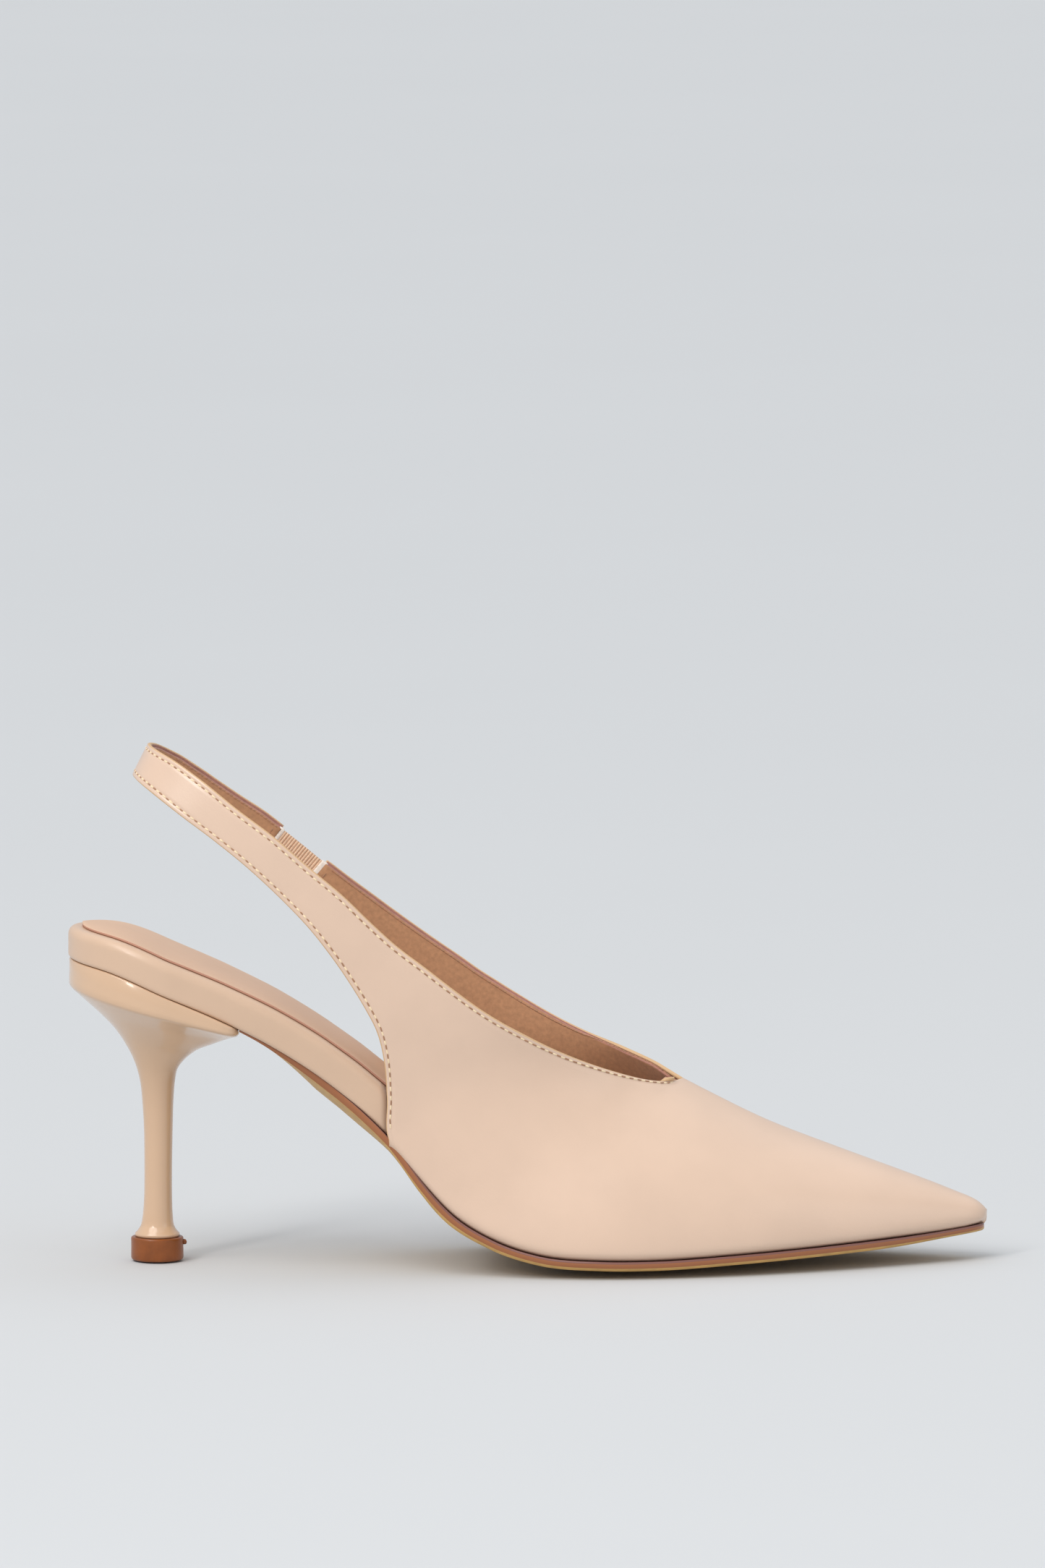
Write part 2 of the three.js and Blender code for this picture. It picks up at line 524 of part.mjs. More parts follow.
const MEDIAL_REAR = [[-0.5, 7.9, 137.6, -4.7, 8.5, 129.5, 0], [5, 14.2, 134.4, -0.5, 14.8, 126.4, 0],
  [10.8, 17.4, 130.4, 4.6, 17.6, 122.4, 0], [16.2, 19.8, 126.3, 10, 19.8, 118.2, 0],
  [22.2, 21.6, 122, 16, 21.4, 114, 0], [28.2, 23, 117.9, 21.8, 22.6, 109.9, 0],
  [33.4, 24, 113.8, 27, 23.6, 105.9, 0], [39.5, 25, 108.9, 32.6, 24.5, 100.4, 0],
  [45.1, 25.8, 104.2, 37.6, 25.2, 95.6, 0], [51.3, 26.3, 99.4, 42.6, 25.7, 90, 0],
  [58.3, 26.8, 94.1, 47.8, 26, 83.3, 0], [66, 26.9, 88.4, 52.8, 26, 76, 0],
  [74.7, 26.4, 82.3, 57, 25.8, 69, 0.05], [80.5, 25.8, 78.4, 59.6, 25.3, 62.4, 0.1],
  [85.9, 25, 74.7, 61.2, 24.6, 55, 0.15], [92, 24.1, 70.9, 61.9, 23.8, 46, 0.2]];
const MEDIAL_RIBS = [[98, 23, 67.2, 62.3, 0.3], [107, 20.2, 62.4, 72, 0.5], [115, 16.8, 59, 84, 0.65],
  [124.5, 11.6, 55.9, 98, 0.78], [133, 6.4, 52.6, 110, 0.85]];

const featherY = (x, side) => centre(x) + side * upperOutline.half(x);
function rearRib([ux, uy, uz, lx, ly, lz, round], side) {
  return {
    top: new THREE.Vector3(along(ux), side * across(uy), rise(uz)),
    low: new THREE.Vector3(along(lx), side * across(ly), rise(lz)),
    round, lasted: false, crowned: false, side,
  };
}
function sideRib([ux, uy, uz, lx, round], side) {
  const x = along(lx);
  return {
    top: new THREE.Vector3(along(ux), side * across(uy), rise(uz)),
    low: new THREE.Vector3(x, featherY(x, side), base(x)),
    round, lasted: true, crowned: false, side,
  };
}
function toeRib([ux, lx, round], side) {
  const x = along(lx);
  return {
    top: new THREE.Vector3(along(ux), centre(along(ux)), crown(along(ux))),
    low: new THREE.Vector3(x, featherY(x, side), base(x)),
    round, lasted: true, crowned: true, side,
  };
}
const ribs = [
  ...TOE_RIBS.map((r) => toeRib(r, -1)), ...LATERAL_RIBS.map((r) => sideRib(r, -1)),
  ...LATERAL_REAR.map((r) => rearRib(r, -1)), rearRib(BACK_RIB, 1),
  ...MEDIAL_REAR.map((r) => rearRib(r, 1)), ...MEDIAL_RIBS.map((r) => sideRib(r, 1)),
  ...[...TOE_RIBS].reverse().map((r) => toeRib(r, 1)),
];
const upperEdge = new THREE.CatmullRomCurve3(ribs.map((r) => r.top));
const lowerEdge = new THREE.CatmullRomCurve3(ribs.map((r) => r.low));

// Rows of a rib, from its lasted margin round the feather and up to the upper edge.
const FEATHER_CHAMFER = 0.3 * FEATHER_RADIUS;
const FEATHER_ROWS = [[WRAP_MARGIN, 0], [7, 0], [FEATHER_RADIUS, 0], [FEATHER_CHAMFER, FEATHER_CHAMFER]];
const WALL_ROWS = 7;
const STRAP_ROWS = 3;
const ROUND_REACH = 0.5523;      // Bezier handle of a quarter circle
const FEATHER_SHARE = 0.8;       // the feather's rounding stays below this share of a rib

function ribPoints(place, rows, inset) {
  const i = Math.min(Math.floor(place), ribs.length - 2);
  const t = place - i;
  const [a, b] = [ribs[i], ribs[i + 1]];
  const top = upperEdge.getPoint(place / (ribs.length - 1));
  const low = lowerEdge.getPoint(place / (ribs.length - 1));
  const lasted = (a.lasted && b.lasted) || (t === 0 && a.lasted) || (t === 1 && b.lasted);
  if ((a.crowned && b.crowned) || (t === 0 && a.crowned)) {
    top.y = centre(top.x);
    top.z = crown(top.x);
  }
  const points = [];
  const round = lerp(a.round, b.round, t);
  if (lasted) {
    low.y = featherY(low.x, a.side);
    low.z = level(low.x, low.y, -FEATHER_DROP);
    for (const [depth, up] of FEATHER_ROWS) {
      const [x, y] = inward(low.x, low.y, depth);
      points.push([x, y, level(x, y, -FEATHER_DROP) + up]);
    }
    low.z = Math.min(low.z + FEATHER_RADIUS, lerp(low.z, top.z, FEATHER_SHARE));
  } else {
    for (let k = 0; k < FEATHER_ROWS.length; k += 1) points.push(low.toArray());
  }
  const flat = lerp(1 / 3, 0, round);
  const full = lerp(1 / 3, ROUND_REACH, round);
  const reach = top.clone().sub(low);
  const share = inset / reach.length();
  for (let k = 0; k <= rows; k += 1) {
    const s = lerp(share, 1 - share, k / rows);
    const [b0, b1, b2] = [3 * s * (1 - s) ** 2, 3 * s * s * (1 - s), s ** 3];
    points.push([
      low.x + reach.x * s,
      low.y + reach.y * (b0 * flat + b1 * (1 - full) + b2),
      low.z + reach.z * (b0 * full + b1 * (1 - flat) + b2),
    ]);
  }
  return points;
}

// The part of the upper's outside between two ribs, as an open surface facing out.
function upperSurface(from, to, perRib, fromRow, rows = WALL_ROWS, inset = 0) {
  const places = [];
  const steps = Math.max(1, Math.round((to - from) * perRib));
  for (let k = 0; k <= steps; k += 1) places.push(lerp(from, to, k / steps));
  const lines = places.map((place) => ribPoints(place, rows, inset).slice(fromRow));
  const n = lines[0].length;
  const faces = [];
  for (let i = 0; i + 1 < lines.length; i += 1) {
    for (let j = 0; j + 1 < n; j += 1) {
      const a = i * n + j;
      faces.push([a, a + n + 1, a + n], [a, a + 1, a + n + 1]);
    }
  }
  return tidySolid(lines.flat(), faces);
}
function joined(...surfaces) {
  const points = [];
  const faces = [];
  for (const surface of surfaces) {
    const start = points.length;
    points.push(...surface.points);
    faces.push(...surface.faces.map((f) => f.map((i) => i + start)));
  }
  return tidySolid(points, faces);
}
const lastRib = ribs.length - 1;
const lateralRib = TOE_RIBS.length + LATERAL_RIBS.length;            // first rear rib, lateral
const backRib = lateralRib + LATERAL_REAR.length;
const medialRib = backRib + 1;                                       // first rear rib, medial
const PLY = {
  leather: [0, -LEATHER],
  middle: [-LEATHER - PLY_GAP, -LEATHER - PLY_GAP - INTERLAYER],
  lining: [-LEATHER - 2 * PLY_GAP - INTERLAYER, -UPPER],
};

// Places, counted in ribs, where the pieces of the upper meet.
const CUT = 0.02;                                  // half of the slit between two pieces
const lateralQuarter = lateralRib + 4;             // vamp to bending zone, lateral
const lateralRoot = lateralRib + 5.2;              // bending zone to strap root
const lateralBend = lateralRib + 5.9;              // strap root to strap bending zone
const lateralStrap = lateralRib + 6.9;             // bending zone to strap
const strapEnd = medialRib + 6;                    // end of the strap at the elastic
const tailEnd = medialRib + 8;                     // end of the quarter's tail at the elastic
const tailRoot = medialRib + 10;                   // tail to bending zone, medial
const medialQuarter = medialRib + 11.1;            // bending zone to vamp, medial

const lateralCorner = lateralRib - 1;
const medialCorner = medialRib + MEDIAL_REAR.length;
const WALL = FEATHER_ROWS.length;
const lateralSide = TOE_RIBS.length;
const medialSide = medialCorner + MEDIAL_RIBS.length - 1;
const vampSurface = joined(upperSurface(0, lateralSide, 1, 0),
  upperSurface(lateralSide, lateralCorner, 2, 0),
  upperSurface(lateralCorner, lateralQuarter - CUT, 1, WALL),
  upperSurface(medialQuarter + CUT, medialCorner, 1, WALL),
  upperSurface(medialCorner, medialSide, 2, 0),
  upperSurface(medialSide, lastRib, 1, 0));
add('vamp', thicken(vampSurface, ...PLY.leather), NUDE, 0.4);
add('vamp_lining', thicken(vampSurface, ...PLY.lining), LINING_TAN, 0.8);
const PUFF_RIBS = 5.3;                             // length of the toe puff
const puffTop = PLY.middle[0] - PLY_GAP;
const puffSurface = joined(upperSurface(0, PUFF_RIBS, 1, WALL + 1),
  upperSurface(lastRib - PUFF_RIBS, lastRib, 1, WALL + 1));
add('toe_puff', thicken(puffSurface, puffTop, puffTop - PUFF), PUFF_WHITE, 0.8);
const bend = [PLY.leather[0], PLY.lining[1]];
function strip(from, to, plies, inset = 0) {
  return thicken(upperSurface(from + CUT, to - CUT, 2, WALL, STRAP_ROWS, inset), ...plies);
}
const tape = strip(lateralStrap, strapEnd - TONGUE, PLY.middle, TAPE_INSET);
const elastic = strip(strapEnd - TONGUE + 2 * CUT, tailEnd + TONGUE, PLY.middle, ELASTIC_INSET);
add('quarter_bend_lateral', strip(lateralQuarter, lateralRoot, bend), NUDE, 0.4);
add('strap_root', strip(lateralRoot, lateralBend, PLY.leather), NUDE, 0.4);
add('strap_root_lining', strip(lateralRoot, lateralBend, PLY.lining), LINING_TAN, 0.8);
add('strap_bend', strip(lateralBend, lateralStrap, bend), NUDE, 0.4);
add('strap', strip(lateralStrap, strapEnd, PLY.leather), NUDE, 0.4);
add('strap_tape', tape, TAPE_WHITE, 0.8);
add('strap_lining', strip(lateralStrap, strapEnd, PLY.lining), LINING_TAN, 0.8);
add('elastic_gore', elastic, ELASTIC_BEIGE, 0.9);
add('quarter_tail', strip(tailEnd, tailRoot, PLY.leather), NUDE, 0.4);
add('quarter_tail_lining', strip(tailEnd, tailRoot, PLY.lining), LINING_TAN, 0.8);
add('quarter_bend_medial', strip(tailRoot, medialQuarter, bend), NUDE, 0.4);

// ------------------------------------------------------------- filler and outsole
const fillerOutline = {
  ...outline(UPPER_BUILD - WRAP_MARGIN - FILLER_INSET), from: shankOutline.to + FILLER_GAP,
};
const fillerTop = UPPER - FEATHER_DROP - FIT;
add('forefoot_filler', plate(fillerOutline, constant(-FEATHER_DROP), constant(fillerTop)),
  FILLER_CORK, 0.95);
const waistOutline = outline(-WAIST_INSET);
const treadOutline = outline(UPPER_BUILD - SOLE_INSET);
const STEP_REAR = VAMP_REAR - 4;          // the sole's top steps down here, under the upper
const STEP_LENGTH = 3.5;
const FLARE = { from: along(40), length: along(30) };   // waist to tread
const soleOutline = {
  from: BREAST + FIT,
  to: treadOutline.to,
  half: (x) => {
    const share = smooth((x - FLARE.from) / FLARE.length);
    return share < 1 ? lerp(waistOutline.half(x), treadOutline.half(x), share) : treadOutline.half(x);
  },
};
const soleTop = (x) => -lerp(FIT, SOLE_DROP, smooth((x - STEP_REAR) / STEP_LENGTH));
const KEEL = { from: BREAST + along(1), rise: along(14), fall: along(62), length: along(26) };
function keel(x) {
  const started = smooth((x - KEEL.from) / KEEL.rise);
  return WAIST_KEEL * started * (1 - smooth((x - KEEL.fall) / KEEL.length));
}
const soleBottom = (x) => soleTop(x) - SOLE;
add('outsole', plate(soleOutline, soleBottom, soleTop, 7, 0, keel), SOLE_BROWN, 0.6);

// ------------------------------------------------------------- heel
// Each section has its back point, its front point, its half width and how square its front is.
const stem = STEM_DIAMETER / 2;
const tip = TIP_DIAMETER / 2;
const TIP_TOP = TOP_PIECE_HEIGHT + TIP_GAP;
const heelSections = [
  [-tip, TIP_TOP, tip, TIP_TOP, tip, 0], [-tip, TIP_TOP + 0.7, tip, TIP_TOP + 0.7, tip, 0],
  [-stem - 0.9, TIP_TOP + 2.2, stem + 0.9, TIP_TOP + 2.2, stem + 0.9, 0],
  [-stem, TIP_TOP + 6, stem + 0.3, TIP_TOP + 6, stem + 0.1, 0],
  [-stem + 0.4, rise(23.6), stem + 0.2, rise(23.6), stem - 0.1, 0],
  [-stem + 0.3, rise(35.2), stem + 0.4, rise(35.2), stem, 0],
  [-stem - 0.2, rise(44), stem + 0.7, rise(44), stem + 0.4, 0],
  [-4.7, rise(49), 5.1, rise(49.4), 5, 0.03], [-5.9, rise(53), 6.5, rise(52.8), 6.3, 0.08],
  [-8, rise(57.5), 9.6, rise(55.9), 8.9, 0.16], [-10.9, rise(62.2), 14.9, rise(58.6), 12.8, 0.28],
  [-15.2, rise(66.4), 19.3, rise(60.6), 17.2, 0.45], [-19.3, rise(70.3), 21.2, rise(61.7), 21.4, 0.7],
  [-22.3, rise(73.4), 22, rise(62.5), 24.2, 0.95], [-23.2, rise(74.1), 22.3, rise(62.9), 25, 1],
].map(([bx, bz, fx, fz, w, square]) => (
  square ? [along(bx), bz, along(fx), fz, across(w), square] : [bx, bz, fx, fz, w, square]));
const HEEL_SIDES = 28;
function heelRing(backPoint, frontPoint, halfWidth, square) {
  const axis = frontPoint.clone().sub(backPoint);
  const middle = lerp(0.5, 0.6, square);
  const ring = [];
  for (let j = 0; j < HEEL_SIDES; j += 1) {
    const angle = 2 * Math.PI * (j + 0.5) / HEEL_SIDES;
    const c = Math.cos(angle);
    const s = Math.sin(angle);
    const power = c > 0 ? 2 / lerp(2, 7, square) : 1;
    const u = c > 0 ? lerp(middle, 1, Math.abs(c) ** power) : lerp(middle, 0, -c);
    const point = backPoint.clone().addScaledVector(axis, u);
    ring.push([point.x, Math.sign(s) * Math.abs(s) ** power * halfWidth, point.z]);
  }
  return ring;
}
const bandRings = heelSections.map(([bx, bz, fx, fz, w, square]) => heelRing(
  new THREE.Vector3(bx, 0, bz), new THREE.Vector3(fx, 0, fz), w, square));
const seatShape = heelRing(new THREE.Vector3(HEEL_BACK + 0.4, 0, 0),
  new THREE.Vector3(BREAST - 0.2, 0, 0), SEAT_HALF - 0.4, 1);
const SEAT_SHRINK = [1, 0.7, 0.4];
const seatGap = SEAT_GAP * riseScale;    // a steeper seat curves more between its sections
const seatRings = SEAT_SHRINK.map((share) => seatShape.map(([x, y]) => {
  const px = lerp(SEAT_CENTRE, x, share);
  const py = y * share;
  return [px, py, level(px, py, -seatGap)];
}));
const tubeBottom = TIP_TOP + TUBE_RECESS;
const tubeTop = tubeBottom + TUBE_LENGTH;
const tubeHole = turned(
  hole(TUBE_DIAMETER / 2 + BORE_CLEARANCE, -THROUGH, tubeTop + BORE_CLEARANCE), SIDES);
add('heel', cut(loft([...bandRings, ...seatRings]), [tubeHole, ...fastenerHoles]), HEEL_NUDE, 0.25);
const tubeProfile = [[TUBE_BORE / 2, tubeBottom], [TUBE_DIAMETER / 2, tubeBottom],
  [TUBE_DIAMETER / 2, tubeTop], [TUBE_BORE / 2, tubeTop], [TUBE_BORE / 2, tubeBottom]];
add('heel_core_tube', turned(tubeProfile, SIDES), STEEL, 0.4, 0.9);

// Top piece, moulded round the head of its pin.
const TOP_SIDES = 28;
const TOP_CHAMFER = 0.3;         // upper edge of the top piece
const pinRadius = PIN_DIAMETER / 2;
const topRadius = TOP_PIECE_DIAMETER / 2;
const boreRadius = pinRadius + BORE_CLEARANCE;
const pocketRadius = PIN_HEAD / 2 + BORE_CLEARANCE;
const pocketLow = PIN_HEAD_LOW - BORE_CLEARANCE;
const pocketTop = PIN_HEAD_LOW + HEAD_THICKNESS + BORE_CLEARANCE;
const topProfile = [[0, 0], [topRadius - TOP_EDGE_ROUND, 0], [topRadius - 0.2, 0.25],
  [topRadius, TOP_EDGE_ROUND + 0.2], [topRadius, TOP_PIECE_HEIGHT - TOP_CHAMFER],
  [topRadius - TOP_CHAMFER, TOP_PIECE_HEIGHT], [boreRadius, TOP_PIECE_HEIGHT], [boreRadius, pocketTop],
  [pocketRadius, pocketTop], [pocketRadius, pocketLow], [0, pocketLow]];
add('top_piece', turned(topProfile, TOP_SIDES), SOLE_BROWN, 0.6);
const pinHeadTop = PIN_HEAD_LOW + HEAD_THICKNESS;
const pinTop = PIN_HEAD_LOW + PIN_LENGTH;
const pinProfile = [[0, PIN_HEAD_LOW], [PIN_HEAD / 2, PIN_HEAD_LOW], [PIN_HEAD / 2, pinHeadTop],
  [pinRadius, pinHeadTop], [pinRadius, pinTop], [0, pinTop]];
add('top_piece_pin', turned(pinProfile, SIDES), STEEL, 0.4, 0.9);

export default group;
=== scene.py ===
"""Looks of a pointed slingback pump with a slim heel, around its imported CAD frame.

Lengths in the pattern code are millimetres in the frame's axes: +X to the toe, +Y medial, +Z up, and
the origin under the heel tip. Meshes are scaled to metres when they are made.
"""
import math
from collections import namedtuple

import bmesh
import bpy
import numpy as np
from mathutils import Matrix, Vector
from mathutils.bvhtree import BVHTree
from mathutils.kdtree import KDTree


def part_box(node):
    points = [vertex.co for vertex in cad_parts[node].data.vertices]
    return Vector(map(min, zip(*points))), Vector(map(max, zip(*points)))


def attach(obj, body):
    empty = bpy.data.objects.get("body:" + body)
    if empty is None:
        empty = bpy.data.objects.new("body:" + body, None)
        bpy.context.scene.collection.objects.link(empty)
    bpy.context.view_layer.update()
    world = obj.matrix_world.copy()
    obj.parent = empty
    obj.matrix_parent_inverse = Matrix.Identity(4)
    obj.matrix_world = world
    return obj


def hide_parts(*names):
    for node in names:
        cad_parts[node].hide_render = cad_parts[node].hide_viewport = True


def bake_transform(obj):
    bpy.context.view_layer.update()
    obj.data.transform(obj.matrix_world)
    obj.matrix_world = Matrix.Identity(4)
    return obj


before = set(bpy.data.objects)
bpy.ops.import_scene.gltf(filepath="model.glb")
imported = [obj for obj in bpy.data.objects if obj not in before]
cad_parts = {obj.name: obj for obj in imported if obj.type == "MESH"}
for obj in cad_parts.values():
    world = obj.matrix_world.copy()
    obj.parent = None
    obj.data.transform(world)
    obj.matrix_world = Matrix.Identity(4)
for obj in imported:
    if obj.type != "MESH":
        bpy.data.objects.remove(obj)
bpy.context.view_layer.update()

MM = 0.001
LATERAL, MEDIAL = -1, 1

# ---- sizes, mm
LEATHER = 1.15  # upper leather
LINING = 0.85  # upper lining
PLY_GAP = 0.05
UPPER_BUILD = 2.7  # upper's outside to the footbed's edge
FEATHER_DROP = 1.5  # lasted edge below the footbed
FEATHER_RADIUS = 2.0
MARGIN = 6.0  # lasted margin that is modelled
WRAP = 0.7
EDGE_RADIUS = 2.7  # of the wrapped footbed edge
SOCK_INSET = 3.8
SOCK_DOME = 0.5
SOLE = 2.15
TREAD_DROP = 1.45  # from the footbed's underside to the sole, under the vamp
WAIST_DROP = 0.05
SOLE_INSET = 0.7
WAIST_INSET = 1.6
WAIST_KEEL = 3.2  # extra depth of the sole along the middle of the waist
BEVEL_WIDTH = 1.1  # of the sole's lower edge
PAINTED_SHARE = 0.6  # share of the sole's thickness that the painted edge covers
WAIST_PAINTED = 0.85  # the same share along the waist
BEAD_WIDTH = 0.6  # lip of the sole under the upper
BEAD_HEIGHT = 0.4
TIP_ROUND = 1.6  # length over which the sole thins at its tip
STITCH_PITCH = 2.5
STITCH_LENGTH = 1.3
THREAD = 0.25  # thread radius
NEEDLE_HOLE = 1.35  # length of the sunk part between two stitches
STITCH_MARGIN = 1.1  # stitch line to the edge
LINING_INSET = 3  # rows of the upper's edge that the lining leaves bare
ELASTIC_RIB = 0.82  # from one rib of the elastic to the next

# ---- the pattern, tied to the frame
HEEL_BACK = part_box("footbed_wrap")[0].x / MM
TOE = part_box("vamp")[1].x / MM
PATTERN_BACK, PATTERN_TOE = -23.5, 221.7
grade = (TOE - HEEL_BACK) / (PATTERN_TOE - PATTERN_BACK)


def hermite(t, start, start_slope, end, end_slope):
    """A cubic from start to end as t goes from 0 to 1."""
    return ((2 * t ** 3 - 3 * t ** 2 + 1) * start + (t ** 3 - 2 * t ** 2 + t) * start_slope
            + (3 * t ** 2 - 2 * t ** 3) * end + (t ** 3 - t ** 2) * end_slope)


def curve(points, square=False):
    """A smooth function through (x, value) points, with three-point slopes."""
    xs, vs = np.array(points, float).T
    xs = xs * grade
    vs = vs ** 2 if square else vs
    gaps = np.diff(xs)
    steps = np.diff(vs) / gaps
    between = (steps[:-1] * gaps[1:] + steps[1:] * gaps[:-1]) / (gaps[:-1] + gaps[1:])
    slopes = np.r_[steps[0], between, steps[-1]]

    def value(x):
        x = np.asarray(x, float)
        i = np.clip(np.searchsorted(xs, x, side="right") - 1, 0, len(xs) - 2)
        span = xs[i + 1] - xs[i]
        t = np.clip((x - xs[i]) / span, 0, 1)
        before = np.where(x < xs[0], slopes[0] * (x - xs[0]), 0)
        after = np.where(x > xs[-1], slopes[-1] * (x - xs[-1]), 0)
        return hermite(t, vs[i], span * slopes[i], vs[i + 1], span * slopes[i + 1]) + before + after
    return value


def lerp(a, b, t):
    return a + (b - a) * t


def smooth(t):
    t = np.clip(t, 0, 1)
    return t * t * (3 - 2 * t)


def ease(x, start, length):
    """Goes smoothly from 0 to 1 over a length that begins at start."""
    return smooth((x - start) / length)


base = curve([(-23.5, 81.6), (-12, 79.5), (3, 73.4), (18, 66.8), (31.5, 59.8), (45, 51), (54.6, 43.4),
              (62, 36.4), (71.4, 25.6), (79.7, 16.9), (90, 10.7), (102.5, 6.8), (118, 5.6), (132, 5.5),
              (156, 6.5), (181, 7.7), (206, 9.1), (221, 10.5)])
centre = curve([(-23.5, 0), (30, -0.3), (50, -1.5), (65, -2.5), (85, -3), (105, -3), (120, -2), (135, -0.3),
                (155, 0.6), (175, 1.4), (195, 2.3), (212, 3.3), (222, 4)])
camber = curve([(-23.5, 0), (55, 0.2), (90, 1.2), (105, 1.6), (135, 1.6), (170, 0.9), (221, 0.3)])
crown = curve([(140.5, 48.9), (150.3, 43.8), (162.6, 37.6), (174.9, 32.7), (187.2, 28), (199.5, 23.4),
               (208.7, 19.9), (214.9, 17.3), (218, 16.1), (220.4, 14.4), (221.7, 12.9)])
bed_squares = curve([(4, 25.5), (28, 23.4), (48, 22), (62, 23.2), (85, 27.6), (105, 31.6), (120, 33.6),
                     (135, 33.8), (155, 30), (175, 23.4), (195, 14.6), (206, 9), (213, 5.5), (219, 0)],
                    square=True)
SEAT_CENTRE, SEAT_HALF = 4.0 * grade, 25.5
BED_TOE = TOE - UPPER_BUILD
INNER_BACK = HEEL_BACK + 30  # ends of the middle line that edges are moved in towards
INNER_TOE = BED_TOE - 34
OUTLINE_POINTS = 600
NUDGE = 0.01


def slope(x):
    return base(x + 0.5) - base(x - 0.5)


def bed_half(x):
    seat = SEAT_HALF * np.sqrt(np.clip(1 - ((SEAT_CENTRE - x) / (SEAT_CENTRE - HEEL_BACK)) ** 2, 0, 1))
    return np.where(x <= SEAT_CENTRE, seat, np.sqrt(np.clip(bed_squares(x), 0, None)))


class Outline:
    """The footbed's plan outline moved outward by a distance."""

    def __init__(self, distance):
        angle = np.linspace(0, math.pi, OUTLINE_POINTS)
        x = lerp(HEEL_BACK, BED_TOE, (1 - np.cos(angle)) / 2)
        inner = np.clip(x, HEEL_BACK + 2 * NUDGE, BED_TOE - 2 * NUDGE)
        grad = (bed_half(inner + NUDGE) - bed_half(inner - NUDGE)) / (2 * NUDGE)
        size = np.hypot(1, grad)
        px, pw = x - distance * grad / size, bed_half(x) + distance / size
        px[0], pw[0], px[-1], pw[-1] = HEEL_BACK - distance, 0, BED_TOE + distance, 0
        kept = [0]
        for i in range(1, len(px)):
            if pw[i] >= 0 and px[i] > px[kept[-1]] + 1e-6:
                kept.append(i)
        self.x, self.squares = px[kept], pw[kept] ** 2
        self.start, self.end = self.x[0], self.x[-1]

    def half(self, x):
        return np.sqrt(np.interp(x, self.x, self.squares, left=0, right=0))


upper_outline = Outline(UPPER_BUILD)


def level(x, y, h):
    """Height of a layer that lies h above the footbed's underside, square to it."""
    v = np.clip((y - centre(x)) / np.maximum(bed_half(x), 1), -1, 1)
    return base(x) + h * np.hypot(1, slope(x)) - camber(x) * (1 - v * v)


def inward(x, y, distance):
    """A point of the outline moved in towards the middle of the footbed."""
    fx = np.clip(x, INNER_BACK, INNER_TOE)
    dx, dy = fx - x, centre(fx) - y
    size = np.hypot(dx, dy)
    return x + dx * distance / size, y + dy * distance / size


def spline(points):
    """Centripetal Catmull-Rom curve; its parameter counts the points."""
    p = np.array(points, float)
    p = np.vstack([2 * p[0] - p[1], p, 2 * p[-1] - p[-2]])
    d = np.maximum(np.sqrt(np.linalg.norm(np.diff(p, axis=0), axis=1)), 1e-4)

    def value(place):
        place = np.asarray(place, float)
        i = np.clip(place.astype(int), 0, len(p) - 4)
        t = (place - i)[:, None]
        p0, p1, p2, p3 = p[i], p[i + 1], p[i + 2], p[i + 3]
        d0, d1, d2 = d[i][:, None], d[i + 1][:, None], d[i + 2][:, None]
        m1 = ((p1 - p0) / d0 - (p2 - p0) / (d0 + d1) + (p2 - p1) / d1) * d1
        m2 = ((p2 - p1) / d1 - (p3 - p1) / (d1 + d2) + (p3 - p2) / d2) * d1
        return hermite(t, p1, m1, p2, m2)
    return value


def step_lengths(points):
    return np.linalg.norm(np.diff(points, axis=0), axis=1)


def run_along(points):
    """Distance along a line at each of its points."""
    return np.r_[0, np.cumsum(step_lengths(points))]


def points_at(distances, line):
    """Points at some distances along a line."""
    run = run_along(line)
    return np.stack([np.interp(distances, run, line[:, k]) for k in range(3)], axis=-1)


# Ribs cross the upper from its lower edge to its upper edge: the upper edge's x, y, z, the lower
# edge's x, y, z and the roundness between them. Lasted ribs start on the footbed's outline.
TOE_RIBS = [(221.7, 221.7, 1), (221, 220.9, 1), (219.4, 219.2, 1), (216, 215.8, 1), (209.5, 209, 1),
            (199.5, 198, 1), (187.2, 183, 1), (174.9, 167, 1), (162.6, 150, 0.98), (150.3, 133, 0.94),
            (140.5, 120, 0.9)]
LATERAL_RIBS = [(136.5, 6.5, 48.7, 110, 0.85), (128.5, 12.4, 50.4, 98, 0.78), (116.2, 19, 54.7, 84, 0.65),
                (106.9, 23, 58.7, 72, 0.5), (97.7, 26, 63.5, 62.3, 0.3)]
LATERAL_REAR = [
    (91, 27.3, 67.4, 61.9, 28.1, 46.5, 0.2), (85.4, 28, 71.1, 61.2, 28.4, 56.5, 0.15),
    (79, 28.6, 75.9, 59.4, 28.7, 64.5, 0.1), (72, 28.8, 81.4, 56.2, 28.7, 70.9, 0.1),
    (63.8, 28.5, 87.7, 51.5, 28.5, 78.6, 0), (57, 28.1, 93.9, 47.3, 28.2, 84.7, 0),
    (49.7, 27.6, 100.9, 41.2, 27.5, 92.4, 0), (40.5, 26.6, 108.5, 33.6, 26.2, 100.2, 0),
    (31.2, 25, 116.4, 24.6, 24.6, 108.4, 0), (22, 22.7, 123.1, 15.7, 22.4, 115.4, 0),
    (12.8, 19.3, 130.2, 6.6, 19.3, 121.9, 0), (5, 14.4, 135.3, -0.5, 15, 127.1, 0),
    (-0.5, 7.9, 137.8, -4.7, 8.5, 129.7, 0)]
BACK_RIB = (-2.3, 0, 138.5, -6.3, 0, 130.6, 0)
